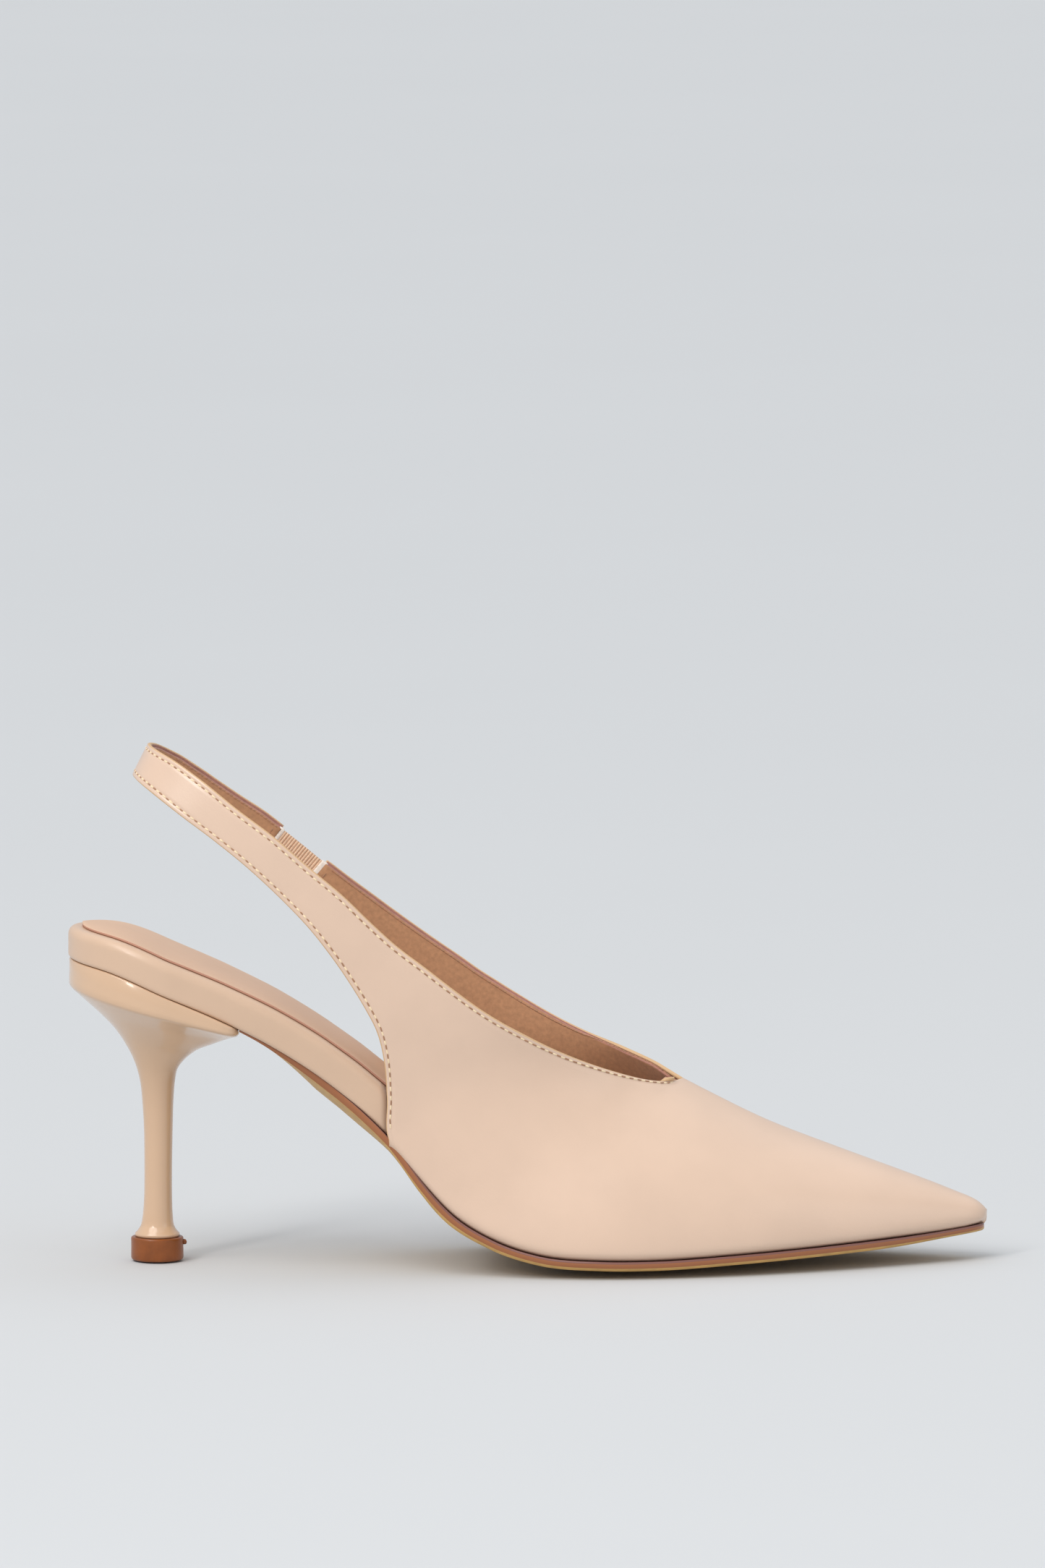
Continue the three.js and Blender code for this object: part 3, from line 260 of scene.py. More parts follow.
MEDIAL_REAR = [
    (-0.5, 7.9, 137.6, -4.7, 8.5, 129.5, 0), (5, 14.2, 134.4, -0.5, 14.8, 126.4, 0),
    (10.8, 17.4, 130.4, 4.6, 17.6, 122.4, 0), (16.2, 19.8, 126.3, 10, 19.8, 118.2, 0),
    (22.2, 21.6, 122, 16, 21.4, 114, 0), (28.2, 23, 117.9, 21.8, 22.6, 109.9, 0),
    (33.4, 24, 113.8, 27, 23.6, 105.9, 0), (39.5, 25, 108.9, 32.6, 24.5, 100.4, 0),
    (45.1, 25.8, 104.2, 37.6, 25.2, 95.6, 0), (51.3, 26.3, 99.4, 42.6, 25.7, 90, 0),
    (58.3, 26.8, 94.1, 47.8, 26, 83.3, 0), (66, 26.9, 88.4, 52.8, 26, 76, 0),
    (74.7, 26.4, 82.3, 57, 25.8, 69, 0.05), (80.5, 25.8, 78.4, 59.6, 25.3, 62.4, 0.1),
    (85.9, 25, 74.7, 61.2, 24.6, 55, 0.15), (92, 24.1, 70.9, 61.9, 23.8, 46, 0.2)]
MEDIAL_RIBS = [(98, 23, 67.2, 62.3, 0.3), (107, 20.2, 62.4, 72, 0.5), (115, 16.8, 59, 84, 0.65),
               (124.5, 11.6, 55.9, 98, 0.78), (133, 6.4, 52.6, 110, 0.85)]


def feather_y(x, side):
    return centre(x) + side * upper_outline.half(x)


Rib = namedtuple("Rib", "top low roundness lasted crowned side")


def lasted_rib(top, x, roundness, side, crowned=False):
    return Rib(top, (x, float(feather_y(x, side)), float(base(x))), roundness, True, crowned, side)


def toe_rib(row, side):
    top_x, low_x, roundness = row
    top_x = top_x * grade
    top = (top_x, float(centre(top_x)), float(crown(top_x)))
    return lasted_rib(top, low_x * grade, roundness, side, crowned=True)


def side_rib(row, side):
    x, y, z, low_x, roundness = row
    return lasted_rib((x * grade, side * y, z), low_x * grade, roundness, side)


def rear_rib(row, side):
    x, y, z, low_x, low_y, low_z, roundness = row
    low = (low_x * grade, side * low_y, low_z)
    return Rib((x * grade, side * y, z), low, roundness, False, False, side)


def make_ribs():
    """All ribs in order: back along the lateral side, round the back, and forward to the toe."""
    return ([toe_rib(row, LATERAL) for row in TOE_RIBS]
            + [side_rib(row, LATERAL) for row in LATERAL_RIBS]
            + [rear_rib(row, LATERAL) for row in LATERAL_REAR]
            + [rear_rib(BACK_RIB, MEDIAL)]
            + [rear_rib(row, MEDIAL) for row in MEDIAL_REAR]
            + [side_rib(row, MEDIAL) for row in MEDIAL_RIBS]
            + [toe_rib(row, MEDIAL) for row in reversed(TOE_RIBS)])


ribs = make_ribs()
LAST = len(ribs) - 1
THROAT = len(TOE_RIBS) - 1
LATERAL_REAR_START = len(TOE_RIBS) + len(LATERAL_RIBS)
MEDIAL_REAR_START = LATERAL_REAR_START + len(LATERAL_REAR) + 1
LATERAL_CORNER = LATERAL_REAR_START - 1
MEDIAL_CORNER = MEDIAL_REAR_START + len(MEDIAL_REAR)
LATERAL_SPLIT = LATERAL_REAR_START + 5.55  # in the strap's root
STRAP_END = MEDIAL_REAR_START + 6  # strap's end at the elastic
TAIL_END = MEDIAL_REAR_START + 8  # quarter's tail at the elastic
STRAP_CUT = STRAP_END - 0.02  # where the leather ends
TAIL_CUT = TAIL_END + 0.02

lower_edge = spline([r.low for r in ribs])
top_edge = spline([r.top for r in ribs[THROAT:LAST - THROAT + 1]])
crown_edge = spline([r.top for r in ribs[:THROAT + 1]])

EDGE_STEP = 0.3  # between the rows near an edge, mm
EDGE_ROWS = 8
MIDDLE_ROWS = 22
SHORTEST_RIB = 6.0
ARC_HANDLE = 0.5523  # Bezier handle of a quarter circle
FEATHER_TOP = 0.8  # highest share of a rib at which its wall may start
# rows of the lasted margin: depth in from the outline, height above the lasted edge
FEATHER_ROWS = ((MARGIN, 0), (4.0, 0), (FEATHER_RADIUS, 0), (1.17, 0.15), (0.59, 0.59), (0.15, 1.17))


def rib_row_shares(length):
    """Shares of a rib's length at its rows, closer together near both edges."""
    near = np.arange(EDGE_ROWS) * EDGE_STEP / length
    middle = np.linspace(near[-1] + EDGE_STEP / length, 1 - near[-1] - EDGE_STEP / length, MIDDLE_ROWS)
    return np.r_[near, middle, 1 - near[::-1]]


def holds(first, second, t):
    """Whether a flag of two neighbouring ribs holds at a share t of the way between them."""
    return (first and second) or (t == 0 and first) or (t == 1 and second)


def rib_top(place, crowned):
    if not crowned:
        return top_edge(np.array([place - THROAT]))[0]
    top = crown_edge(np.array([place if place <= THROAT else LAST - place]))[0]
    top[1], top[2] = centre(top[0]), crown(top[0])
    return top


def rib_wall(low, top, roundness):
    """Rows of a Bezier curve up the wall, straight at roundness 0 and a quarter circle at 1."""
    flat, full = lerp(1 / 3, 0, roundness), lerp(1 / 3, ARC_HANDLE, roundness)
    reach = top - low
    s = rib_row_shares(max(np.linalg.norm(reach), SHORTEST_RIB))
    b0, b1, b2 = 3 * s * (1 - s) ** 2, 3 * s * s * (1 - s), s ** 3
    return np.stack([low[0] + reach[0] * s, low[1] + reach[1] * (b0 * flat + b1 * (1 - full) + b2),
                     low[2] + reach[2] * (b0 * full + b1 * (1 - flat) + b2)], axis=1)


def rib_points(place):
    """Rows of points up one rib, from the lasted margin (where there is one) to the upper edge."""
    i = min(int(place), LAST - 1)
    t = place - i
    a, b = ribs[i], ribs[i + 1]
    low = lower_edge(np.array([place]))[0]
    top = rib_top(place, holds(a.crowned, b.crowned, t))
    feather = []
    if holds(a.lasted, b.lasted, t):
        low[1] = feather_y(low[0], a.side if t < 1 else b.side)
        low[2] = level(low[0], low[1], -FEATHER_DROP)
        for depth, up in FEATHER_ROWS:
            x, y = inward(low[0], low[1], depth)
            feather.append((x, y, level(x, y, -FEATHER_DROP) + up))
        low[2] = min(low[2] + FEATHER_RADIUS, lerp(low[2], top[2], FEATHER_TOP))
    return np.array(feather), rib_wall(low, top, lerp(a.roundness, b.roundness, t))


# ---- mesh helpers
class Mesh:
    """Vertices in millimetres, polygons, and a material index for each polygon."""

    def __init__(self, points=(), faces=(), marks=None):
        self.points = np.array(points, float).reshape(-1, 3)
        self.faces = [tuple(f) for f in faces]
        self.marks = list(marks) if marks is not None else [0] * len(self.faces)

    def add(self, other, mark=None):
        start = len(self.points)
        self.points = np.vstack([self.points, other.points])
        self.faces += [tuple(i + start for i in f) for f in other.faces]
        self.marks += other.marks if mark is None else [mark] * len(other.faces)
        return self


MERGE_DISTANCE = 1e-3


def without_repeats(face):
    """A polygon without neighbouring corners that are the same vertex, or None where it collapses."""
    loop = [i for i, before in zip(face, [None] + face[:-1]) if i != before]
    if len(loop) > 1 and loop[0] == loop[-1]:
        loop.pop()
    return loop if len(set(loop)) == len(loop) >= 3 else None


def merged(mesh):
    """The mesh with its close vertices made one, and without the polygons that this collapses."""
    keys = {}
    index = []
    kept = []
    for point, key in zip(mesh.points, map(tuple, np.round(mesh.points / MERGE_DISTANCE).astype(int))):
        if key not in keys:
            keys[key] = len(kept)
            kept.append(point)
        index.append(keys[key])
    result = Mesh(kept)
    for face, mark in zip(mesh.faces, mesh.marks):
        loop = without_repeats([index[i] for i in face])
        if loop:
            result.faces.append(tuple(loop))
            result.marks.append(mark)
    return result


def unit(vectors):
    return vectors / np.maximum(np.linalg.norm(vectors, axis=-1, keepdims=True), 1e-12)


def face_normals(points, faces):
    """Area-weighted normals, from the diagonals of quads and the sides of triangles."""
    normals = np.zeros((len(faces), 3))
    for k, f in enumerate(faces):
        p = points[list(f)]
        first, second = (p[2] - p[0], p[3] - p[1]) if len(f) == 4 else (p[1] - p[0], p[2] - p[0])
        normals[k] = np.cross(first, second)
    return normals


def vertex_normals(mesh):
    normals = np.zeros_like(mesh.points)
    for f, n in zip(mesh.faces, face_normals(mesh.points, mesh.faces)):
        for i in f:
            normals[i] += n
    return unit(normals)


def border_edges(mesh):
    """Directed edges of the polygons that no other polygon shares."""
    edges = {}
    for f in mesh.faces:
        for a, b in zip(f, f[1:] + f[:1]):
            edges[(a, b)] = True
    return [(a, b) for a, b in edges if (b, a) not in edges]


RELAX_STRENGTH = 0.5


def relax(mesh, rounds):
    """Evens out ripples, and leaves the border alone."""
    border = set(i for e in border_edges(mesh) for i in e)
    pairs = np.array(sorted({tuple(sorted((a, b))) for f in mesh.faces for a, b in zip(f, f[1:] + f[:1])}))
    free = np.array([i not in border for i in range(len(mesh.points))])
    count = np.zeros(len(mesh.points))
    np.add.at(count, pairs[:, 0], 1)
    np.add.at(count, pairs[:, 1], 1)
    for _ in range(rounds):
        total = np.zeros_like(mesh.points)
        np.add.at(total, pairs[:, 0], mesh.points[pairs[:, 1]])
        np.add.at(total, pairs[:, 1], mesh.points[pairs[:, 0]])
        mean = total / np.maximum(count, 1)[:, None]
        mesh.points[free] += RELAX_STRENGTH * (mean - mesh.points)[free]
    return mesh


def on_seam(pair, seam):
    """Whether both points are points of the seam."""
    return seam is not None and all(np.linalg.norm(seam - p, axis=1).min() < SEAM_REACH for p in pair)


def border_directions(surface, edges, normals):
    """Unit directions out of the surface at its border's vertices, one row for each vertex."""
    sideways = np.zeros_like(surface.points)
    for a, b in edges:
        out = unit(np.cross(surface.points[b] - surface.points[a], normals[a]))
        sideways[a] += out
        sideways[b] += out
    return unit(sideways)


SEAM_REACH = 1e-2
RIM_STEPS = 4


def shell(surface, outer, inner, bulge=0.5, inner_mark=0, seam=None, normals=None):
    """A sheet between two distances along the surface's normals, with rounded rims (material 1).

    A distance is one number, or one for each point. The border along a seam's points stays open.
    """
    normals = vertex_normals(surface) if normals is None else normals
    count = len(surface.points)
    upper = surface.points + normals * np.broadcast_to(outer, count)[:, None]
    lower = surface.points + normals * np.broadcast_to(inner, count)[:, None]
    result = Mesh(np.vstack([upper, lower]), surface.faces)
    result.faces += [tuple(i + count for i in f[::-1]) for f in surface.faces]
    result.marks += [inner_mark] * len(surface.faces)
    edges = [(a, b) for a, b in border_edges(surface) if not on_seam(surface.points[[a, b]], seam)]
    ids = sorted({i for e in edges for i in e})
    sideways = border_directions(surface, edges, normals)[ids]
    middle, half = (upper + lower)[ids] / 2, (upper - lower)[ids] / 2
    reach = np.linalg.norm(half, axis=1, keepdims=True) * bulge
    rings = [{i: i for i in ids}]
    for k in range(1, RIM_STEPS):
        angle = math.pi * k / RIM_STEPS
        start = len(result.points)
        ring = middle + half * math.cos(angle) + sideways * reach * math.sin(angle)
        result.points = np.vstack([result.points, ring])
        rings.append({i: start + n for n, i in enumerate(ids)})
    rings.append({i: i + count for i in ids})
    for first, second in zip(rings, rings[1:]):
        rim = [(first[b], first[a], second[a], second[b]) for a, b in edges]
        result.faces += rim
        result.marks += [1] * len(rim)
    return result


def grid(rows, closed=False):
    """A surface through equal rows of points."""
    rows = [np.array(r, float) for r in rows]
    n = len(rows[0])
    faces = []
    for i in range(len(rows) - 1):
        for j in range(n if closed else n - 1):
            a, b = i * n + j, i * n + (j + 1) % n
            faces.append((a, b, b + n, a + n))
    return Mesh(np.vstack(rows), faces)


def capped(mesh, n):
    """Closes a lofted tube of rings of n points with a fan at each end."""
    count = len(mesh.points)
    for start, flip in ((0, False), (count - n, True)):
        ring = list(range(start, start + n))
        hub = len(mesh.points)
        mesh.points = np.vstack([mesh.points, mesh.points[ring].mean(0)])
        for j in range(n):
            a, b = ring[j], ring[(j + 1) % n]
            mesh.faces.append((a, b, hub) if flip else (b, a, hub))
            mesh.marks.append(0)
    return mesh


def make_object(name, mesh, materials):
    data = bpy.data.meshes.new(name)
    data.from_pydata([tuple(p) for p in mesh.points * MM], [], mesh.faces)
    for material in materials:
        data.materials.append(material)
    data.polygons.foreach_set("material_index", np.array(mesh.marks, np.int32))
    data.polygons.foreach_set("use_smooth", np.ones(len(mesh.faces), bool))
    data.validate()
    obj = bpy.data.objects.new(name, data)
    bpy.context.scene.collection.objects.link(obj)
    make_outward(obj)
    return obj


def make_outward(obj):
    bm = bmesh.new()
    bm.from_mesh(obj.data)
    bmesh.ops.recalc_face_normals(bm, faces=bm.faces)
    bm.to_mesh(obj.data)
    bm.free()


def kd_tree(points):
    tree = KDTree(len(points))
    for i, p in enumerate(points):
        tree.insert(p, i)
    tree.balance()
    return tree


# ---- materials
Bump = namedtuple("Bump", "scale detail strength metres kind", defaults=("Noise",))


def srgb(*colour):
    shares = [c / 255 for c in colour]
    return tuple(c / 12.92 if c <= 0.04045 else ((c + 0.055) / 1.055) ** 2.4 for c in shares)


def new_material(name, colour, roughness, **sockets):
    material = bpy.data.materials.new(name)
    material.use_nodes = True
    inputs = material.node_tree.nodes["Principled BSDF"].inputs
    for socket, value in {"base_color": (*colour, 1), "roughness": roughness, **sockets}.items():
        inputs[socket.replace("_", " ").title()].default_value = value
    return material


def drive(tree, output, socket):
    tree.links.new(output, tree.nodes["Principled BSDF"].inputs[socket])


def texture(tree, scale, detail, kind="Noise"):
    coords = tree.nodes.new("ShaderNodeTexCoord")
    node = tree.nodes.new("ShaderNodeTex" + kind)
    node.inputs["Scale"].default_value = scale
    node.inputs["Detail"].default_value = detail
    tree.links.new(coords.outputs["Object"], node.inputs["Vector"])
    return node.outputs[0]


def mottle(material, colour, dark, light, scale, detail=4):
    """Varies the colour between a darker and a lighter shade of itself."""
    tree = material.node_tree
    ramp = tree.nodes.new("ShaderNodeValToRGB")
    for k, (position, factor) in enumerate(((0.3, dark), (0.7, light))):
        ramp.color_ramp.elements[k].position = position
        ramp.color_ramp.elements[k].color = (*(c * factor for c in colour), 1)
    tree.links.new(texture(tree, scale, detail), ramp.inputs["Fac"])
    drive(tree, ramp.outputs["Color"], "Base Color")


def vary_roughness(material, low, high, scale):
    tree = material.node_tree
    ranged = tree.nodes.new("ShaderNodeMapRange")
    ranged.inputs["To Min"].default_value = low
    ranged.inputs["To Max"].default_value = high
    tree.links.new(texture(tree, scale, 3), ranged.inputs["Value"])
    drive(tree, ranged.outputs["Result"], "Roughness")


def add_bumps(material, *bumps):
    tree = material.node_tree
    normal = None
    for layer in bumps:
        node = tree.nodes.new("ShaderNodeBump")
        node.inputs["Strength"].default_value = layer.strength
        node.inputs["Distance"].default_value = layer.metres
        tree.links.new(texture(tree, layer.scale, layer.detail, layer.kind), node.inputs["Height"])
        if normal is not None:
            tree.links.new(normal, node.inputs["Normal"])
        normal = node.outputs["Normal"]
    drive(tree, normal, "Normal")


def leather(name, colour, roughness, coat):
    material = new_material(name, colour, roughness, coat_weight=coat, coat_roughness=0.25)
    mottle(material, colour, dark=0.965, light=1.03, scale=45)
    vary_roughness(material, roughness - 0.05, roughness + 0.06, scale=220)
    add_bumps(material, Bump(1500, 0, 0.10, 0.0001, "Voronoi"), Bump(3800, 2, 0.10, 0.00005),
              Bump(60, 2, 0.12, 0.0004))
    return material


def plastic(name, colour, roughness):
    material = new_material(name, colour, roughness, coat_weight=0.5, coat_roughness=0.08)
    mottle(material, colour, dark=0.97, light=1.02, scale=30)
    vary_roughness(material, roughness - 0.03, roughness + 0.05, scale=120)
    add_bumps(material, Bump(90, 2, 0.08, 0.0003), Bump(900, 2, 0.03, 0.0001))
    return material


def grained(material, colour, dark, light, scale, detail, bump):
    """Gives a matt material its mottled colour and one layer of bump."""
    mottle(material, colour, dark, light, scale, detail)
    add_bumps(material, bump)
    return material


def microfibre(name, colour):
    material = new_material(name, colour, 0.85, sheen_weight=0.25, sheen_roughness=0.5)
    return grained(material, colour, 0.86, 1.1, 900, 6, Bump(2600, 5, 0.35, 0.00012))


def rubber(name, colour, roughness):
    material = new_material(name, colour, roughness)
    return grained(material, colour, 0.85, 1.12, 260, 5, Bump(1200, 4, 0.25, 0.00015))


def yarn(name, colour):
    material = new_material(name, colour, 0.55, sheen_weight=0.2)
    return grained(material, colour, 0.88, 1.1, 1500, 4, Bump(5000, 2, 0.4, 0.00008))


def plain_fill(name, colour, roughness, metallic=0.0):
    material = new_material(name, colour, roughness, metallic=metallic)
    return grained(material, colour, 0.85, 1.12, 300, 5, Bump(1500, 4, 0.2, 0.0001))


upper_leather = leather("upper_leather", srgb(223, 193, 170), 0.31, coat=0.3)
# The upper's cut edge is coloured lighter and yellower than the leather, a painted highlight along its
# rims.
upper_rim_painted_highlight = leather("upper_cut_edge_painted_highlight", srgb(214, 176, 132), 0.5, coat=0.0)
wrap_leather = leather("wrap_leather", srgb(214, 182, 155), 0.36, coat=0.2)
sock_leather = leather("sock_leather", srgb(222, 184, 154), 0.5, coat=0.05)
# The sock's cut edge is darker than the sock: partly the edge's own purple-brown, partly painted shade of
# the gap between sock and wrap.
sock_rim_gap_shade = leather("sock_cut_edge_and_gap_shade", srgb(186, 136, 114), 0.7, coat=0.0)
lining_fabric = microfibre("lining_microfibre", srgb(187, 138, 101))
lining_rim = microfibre("lining_cut_edge", srgb(176, 124, 108))
heel_plastic = plastic("heel_gloss", srgb(215, 180, 148), 0.2)
sole_edge = plastic("sole_painted_edge", srgb(160, 96, 52), 0.38)
sole_bead = plastic("sole_bead", srgb(128, 82, 72), 0.5)
sole_under = rubber("sole_underside", srgb(206, 164, 96), 0.5)
top_piece_rubber = rubber("top_piece_rubber", srgb(138, 74, 26), 0.32)
top_piece_cut = rubber("top_piece_ground_face", srgb(124, 68, 34), 0.6)
thread = yarn("thread", srgb(246, 222, 184))
lining_thread = yarn("lining_thread", srgb(176, 124, 92))
# The sunk parts between stitches are coloured darker than the leather, as painted shade.
needle_hole_shade = yarn("needle_hole_shade", srgb(170, 126, 94))
elastic_yarn = yarn("elastic_yarn", srgb(236, 200, 168))
# The valleys between the elastic's ribs are coloured darker, as painted shade.
elastic_valley_shade = yarn("elastic_valley_shade", srgb(196, 148, 114))
white_tape = yarn("white_tape", srgb(240, 228, 216))
steel = plain_fill("plain_steel", srgb(170, 172, 176), 0.35, 1.0)
fibreboard = plain_fill("fibreboard", srgb(150, 118, 84), 0.9)

# ---- upper
STATION = 1.3
TOE_STATIONS = 7  # to a rib
LINE_PLACES = 24  # to a rib, along an edge or a seam
RELAX_ROUNDS = 26
STRAP_RELAX_ROUNDS = 4
CHANNEL_DEPTH, CHANNEL_WIDTH = 0.16, 0.42  # under the stitches
LIP_DEPTH, LIP_WIDTH = 0.10, 0.35  # where the leather thins at its edge


def stations(start, end):
    """Places along the upper, about STATION apart on the longer of its two edges."""
    coarse = np.linspace(start, end, 400)
    high = top_edge(np.clip(coarse - THROAT, 0, LAST - 2 * THROAT))
    run = np.r_[0, np.cumsum(np.maximum(step_lengths(lower_edge(coarse)), step_lengths(high)))]
    count = max(4, int(round(run[-1] / STATION)))
    return np.interp(np.linspace(0, run[-1], count + 1), run, coarse)


def toe_stations(start, end):
    """Places near the toe's tip, where stations fan out."""
    return np.linspace(start, end, int(abs(end - start) * TOE_STATIONS) + 1)


def upper_surface(places, with_feather, short=(0, 0)):
    """Ribs joined into a surface, which may stop some rows short of its lower and upper edges."""
    rows = []
    for place in places:
        feather, wall = rib_points(place)
        wall = wall[short[0]:len(wall) - short[1]]
        rows.append(np.vstack([feather, wall]) if with_feather else wall)
    return grid(rows)


def groove(distance):
    """Height of the leather at a distance from its edge, with a shallow channel under the stitches."""
    channel = CHANNEL_DEPTH * np.exp(-((distance - STITCH_MARGIN) / CHANNEL_WIDTH) ** 2)
    return -channel - LIP_DEPTH * np.exp(-(distance / LIP_WIDTH) ** 2)


def edge_distance(surface, lines):
    """Each vertex's distance to the nearest point of some lines."""
    quarters = (0, 0.25, 0.5, 0.75)
    tree = kd_tree([lerp(a, b, t) for line in lines for a, b in zip(line, line[1:]) for t in quarters])
    return np.array([tree.find(p)[2] for p in surface.points])


def vamp_surface(bare=0):
    """The vamp, quarters and tail, stopping some rows short of every cut edge."""
    side = len(TOE_RIBS)
    spans = [(toe_stations(0, THROAT), True, 0, 0),
             (toe_stations(THROAT, side), True, 0, bare),
             (stations(side, LATERAL_CORNER), True, 0, bare),
             (stations(LATERAL_CORNER, LATERAL_SPLIT), False, bare, bare),
             (stations(TAIL_CUT, MEDIAL_CORNER), False, bare, bare),
             (stations(MEDIAL_CORNER, LAST - side), True, 0, bare),
             (toe_stations(LAST - side, LAST - THROAT), True, 0, bare),
             (toe_stations(LAST - THROAT, LAST), True, 0, 0)]
    surface = Mesh()
    for places, with_feather, low, high in spans:
        surface.add(upper_surface(places, with_feather, (low, high)))
    return relax(merged(surface), RELAX_ROUNDS)


def strap_surface(bare=0):
    surface = upper_surface(stations(LATERAL_SPLIT, STRAP_CUT), False, (bare, bare))
    return relax(merged(surface), STRAP_RELAX_ROUNDS)


def line_places(start, end):
    return np.linspace(start, end, int(abs(end - start) * LINE_PLACES) + 2)


def edge_line(start, end, upper):
    """Points along an edge of the upper."""
    return np.array([rib_points(place)[1][-1 if upper else 0] for place in line_places(start, end)])


vamp_edges = [
    edge_line(THROAT, LATERAL_SPLIT, True), edge_line(TAIL_CUT, LAST - THROAT, True),
    edge_line(LATERAL_CORNER, LATERAL_SPLIT, False), edge_line(TAIL_CUT, MEDIAL_CORNER, False),
    rib_points(TAIL_CUT)[1]]
strap_edges = [edge_line(LATERAL_SPLIT, STRAP_CUT, True), edge_line(LATERAL_SPLIT, STRAP_CUT, False),
               rib_points(STRAP_CUT)[1]]
seam = rib_points(LATERAL_SPLIT)[1]


def seam_normals(first, second):
    """Normals of two surfaces, made the same where they meet at the seam."""
    both = merged(Mesh(first.points, first.faces).add(second))
    joint = vertex_normals(both)
    tree = kd_tree(both.points)
    return [joint[[tree.find(p)[1] for p in mesh.points]] for mesh in (first, second)]


def leather_ply(name, surface, edges, normals):
    distance = edge_distance(surface, edges)
    mesh = shell(surface, groove(distance), -LEATHER, inner_mark=2, seam=seam, normals=normals)
    # The rims get the cut edge's colour, which carries a painted highlight.
    return make_object(name, mesh, [upper_leather, upper_rim_painted_highlight, lining_rim])


def lining_ply(name, surface):
    top = -LEATHER - PLY_GAP
    mesh = shell(surface, top, top - LINING, bulge=0.6)
    return make_object(name, mesh, [lining_fabric, lining_rim])


vamp_base, strap_base = vamp_surface(), strap_surface()
vamp_normals, strap_normals = seam_normals(vamp_base, strap_base)
vamp_leather = leather_ply("vamp_leather", vamp_base, vamp_edges, vamp_normals)
strap_leather = leather_ply("strap_leather", strap_base, strap_edges, strap_normals)
vamp_lining = lining_ply("vamp_lining_skin", vamp_surface(LINING_INSET))
strap_lining = lining_ply("strap_lining_skin", strap_surface(LINING_INSET))

# ---- stitches
CAPSULE_RINGS, CAPSULE_SIDES = 5, 8
STITCH_DIP = 0.12  # how far a stitch's ends dip
STITCH_LIFT, HOLE_SINK = 0.04, 0.02
LINE_CLEAR = 1.2  # from a seam's end to its first stitch, mm
LINE_STOP = 0.04  # from a seam's end to the elastic, ribs
BOX_SEAM = 0.26  # from the seam across to the elastic, ribs
THROAT_CLEAR = 0.3  # from the throat's point to the first stitch, ribs
ACROSS_POINTS = 12


def capsule(length, radius, flatten=0.75):
    """One stitch lying along X, as an ellipse-ended rod that dips at both ends."""
    rows = []
    for k in range(CAPSULE_RINGS + 2):
        s = -math.cos(math.pi * k / (CAPSULE_RINGS + 1))
        r = radius * math.sqrt(max(0.0, 1 - abs(s) ** 3))
        dip = STITCH_DIP * abs(s) ** 3
        rows.append([(s * length / 2, r * math.cos(a), flatten * r * math.sin(a) - dip)
                     for a in np.linspace(0, 2 * math.pi, CAPSULE_SIDES, endpoint=False)])
    return merged(grid(rows, closed=True))


STITCH = capsule(STITCH_LENGTH, THREAD)
HOLE = capsule(NEEDLE_HOLE, 0.23, 0.6)
STITCH_PARTS = ((STITCH, (0, 0, STITCH_LIFT)), (HOLE, (STITCH_PITCH / 2, 0, -HOLE_SINK)))


def leather_tree(*objects):
    """A search tree of several objects' faces, in metres."""
    points, faces = [], []
    for obj in objects:
        faces += [[i + len(points) for i in p.vertices] for p in obj.data.polygons]
        points += [v.co.copy() for v in obj.data.vertices]
    return BVHTree.FromPolygons(points, faces)


def seam_line(start, end, upper):
    """Points a stitch margin inside one edge of the upper, with the rib place of each."""
    places = line_places(start, end)
    points = []
    for place in places:
        wall = rib_points(place)[1]
        points.append(points_at(run_along(wall)[-1] - STITCH_MARGIN if upper else STITCH_MARGIN, wall))
    return np.array(points), places


def across_line(place):
    """Points of a seam across the strap, with the rib place of each."""
    wall = rib_points(place)[1]
    at = np.linspace(STITCH_MARGIN, run_along(wall)[-1] - STITCH_MARGIN, ACROSS_POINTS)
    return points_at(at, wall), np.full(ACROSS_POINTS, float(place))


def stitch_frames(tree, line, places):
    """Position, axes and rib place of each stitch along a line laid on the leather."""
    run = run_along(line)
    free = run[-1] - 2 * LINE_CLEAR
    count = max(1, int(free / STITCH_PITCH))
    at = LINE_CLEAR + (free - count * STITCH_PITCH) / 2 + np.arange(count + 1) * STITCH_PITCH
    points = points_at(at, line)
    frames = []
    for a, b, place in zip(points, points[1:], np.interp((at[1:] + at[:-1]) / 2, run, places)):
        hit, normal, _, _ = tree.find_nearest(Vector((a + b) / 2 * MM))
        y = normal.cross(Vector(b - a)).normalized()
        frames.append((np.array(hit) / MM, np.array([y.cross(normal), y, normal]), place))
    return frames


def stitch_mesh(frames):
    """Threads (material 0) and the needle holes between them (material 1), sunk and coloured darker as
    painted shade.
    """
    mesh = Mesh()
    for position, axes, _ in frames:
        for mark, (part, move) in enumerate(STITCH_PARTS):
            mesh.add(Mesh(position + (part.points + move) @ axes, part.faces), mark)
    return mesh


def moved_inside(line):
    """A line moved from the outside of the upper to its inside."""
    step = np.stack([line[:, 0], centre(line[:, 0]), line[:, 2]], axis=1) - line
    return line + unit(step) * (LEATHER + LINING)


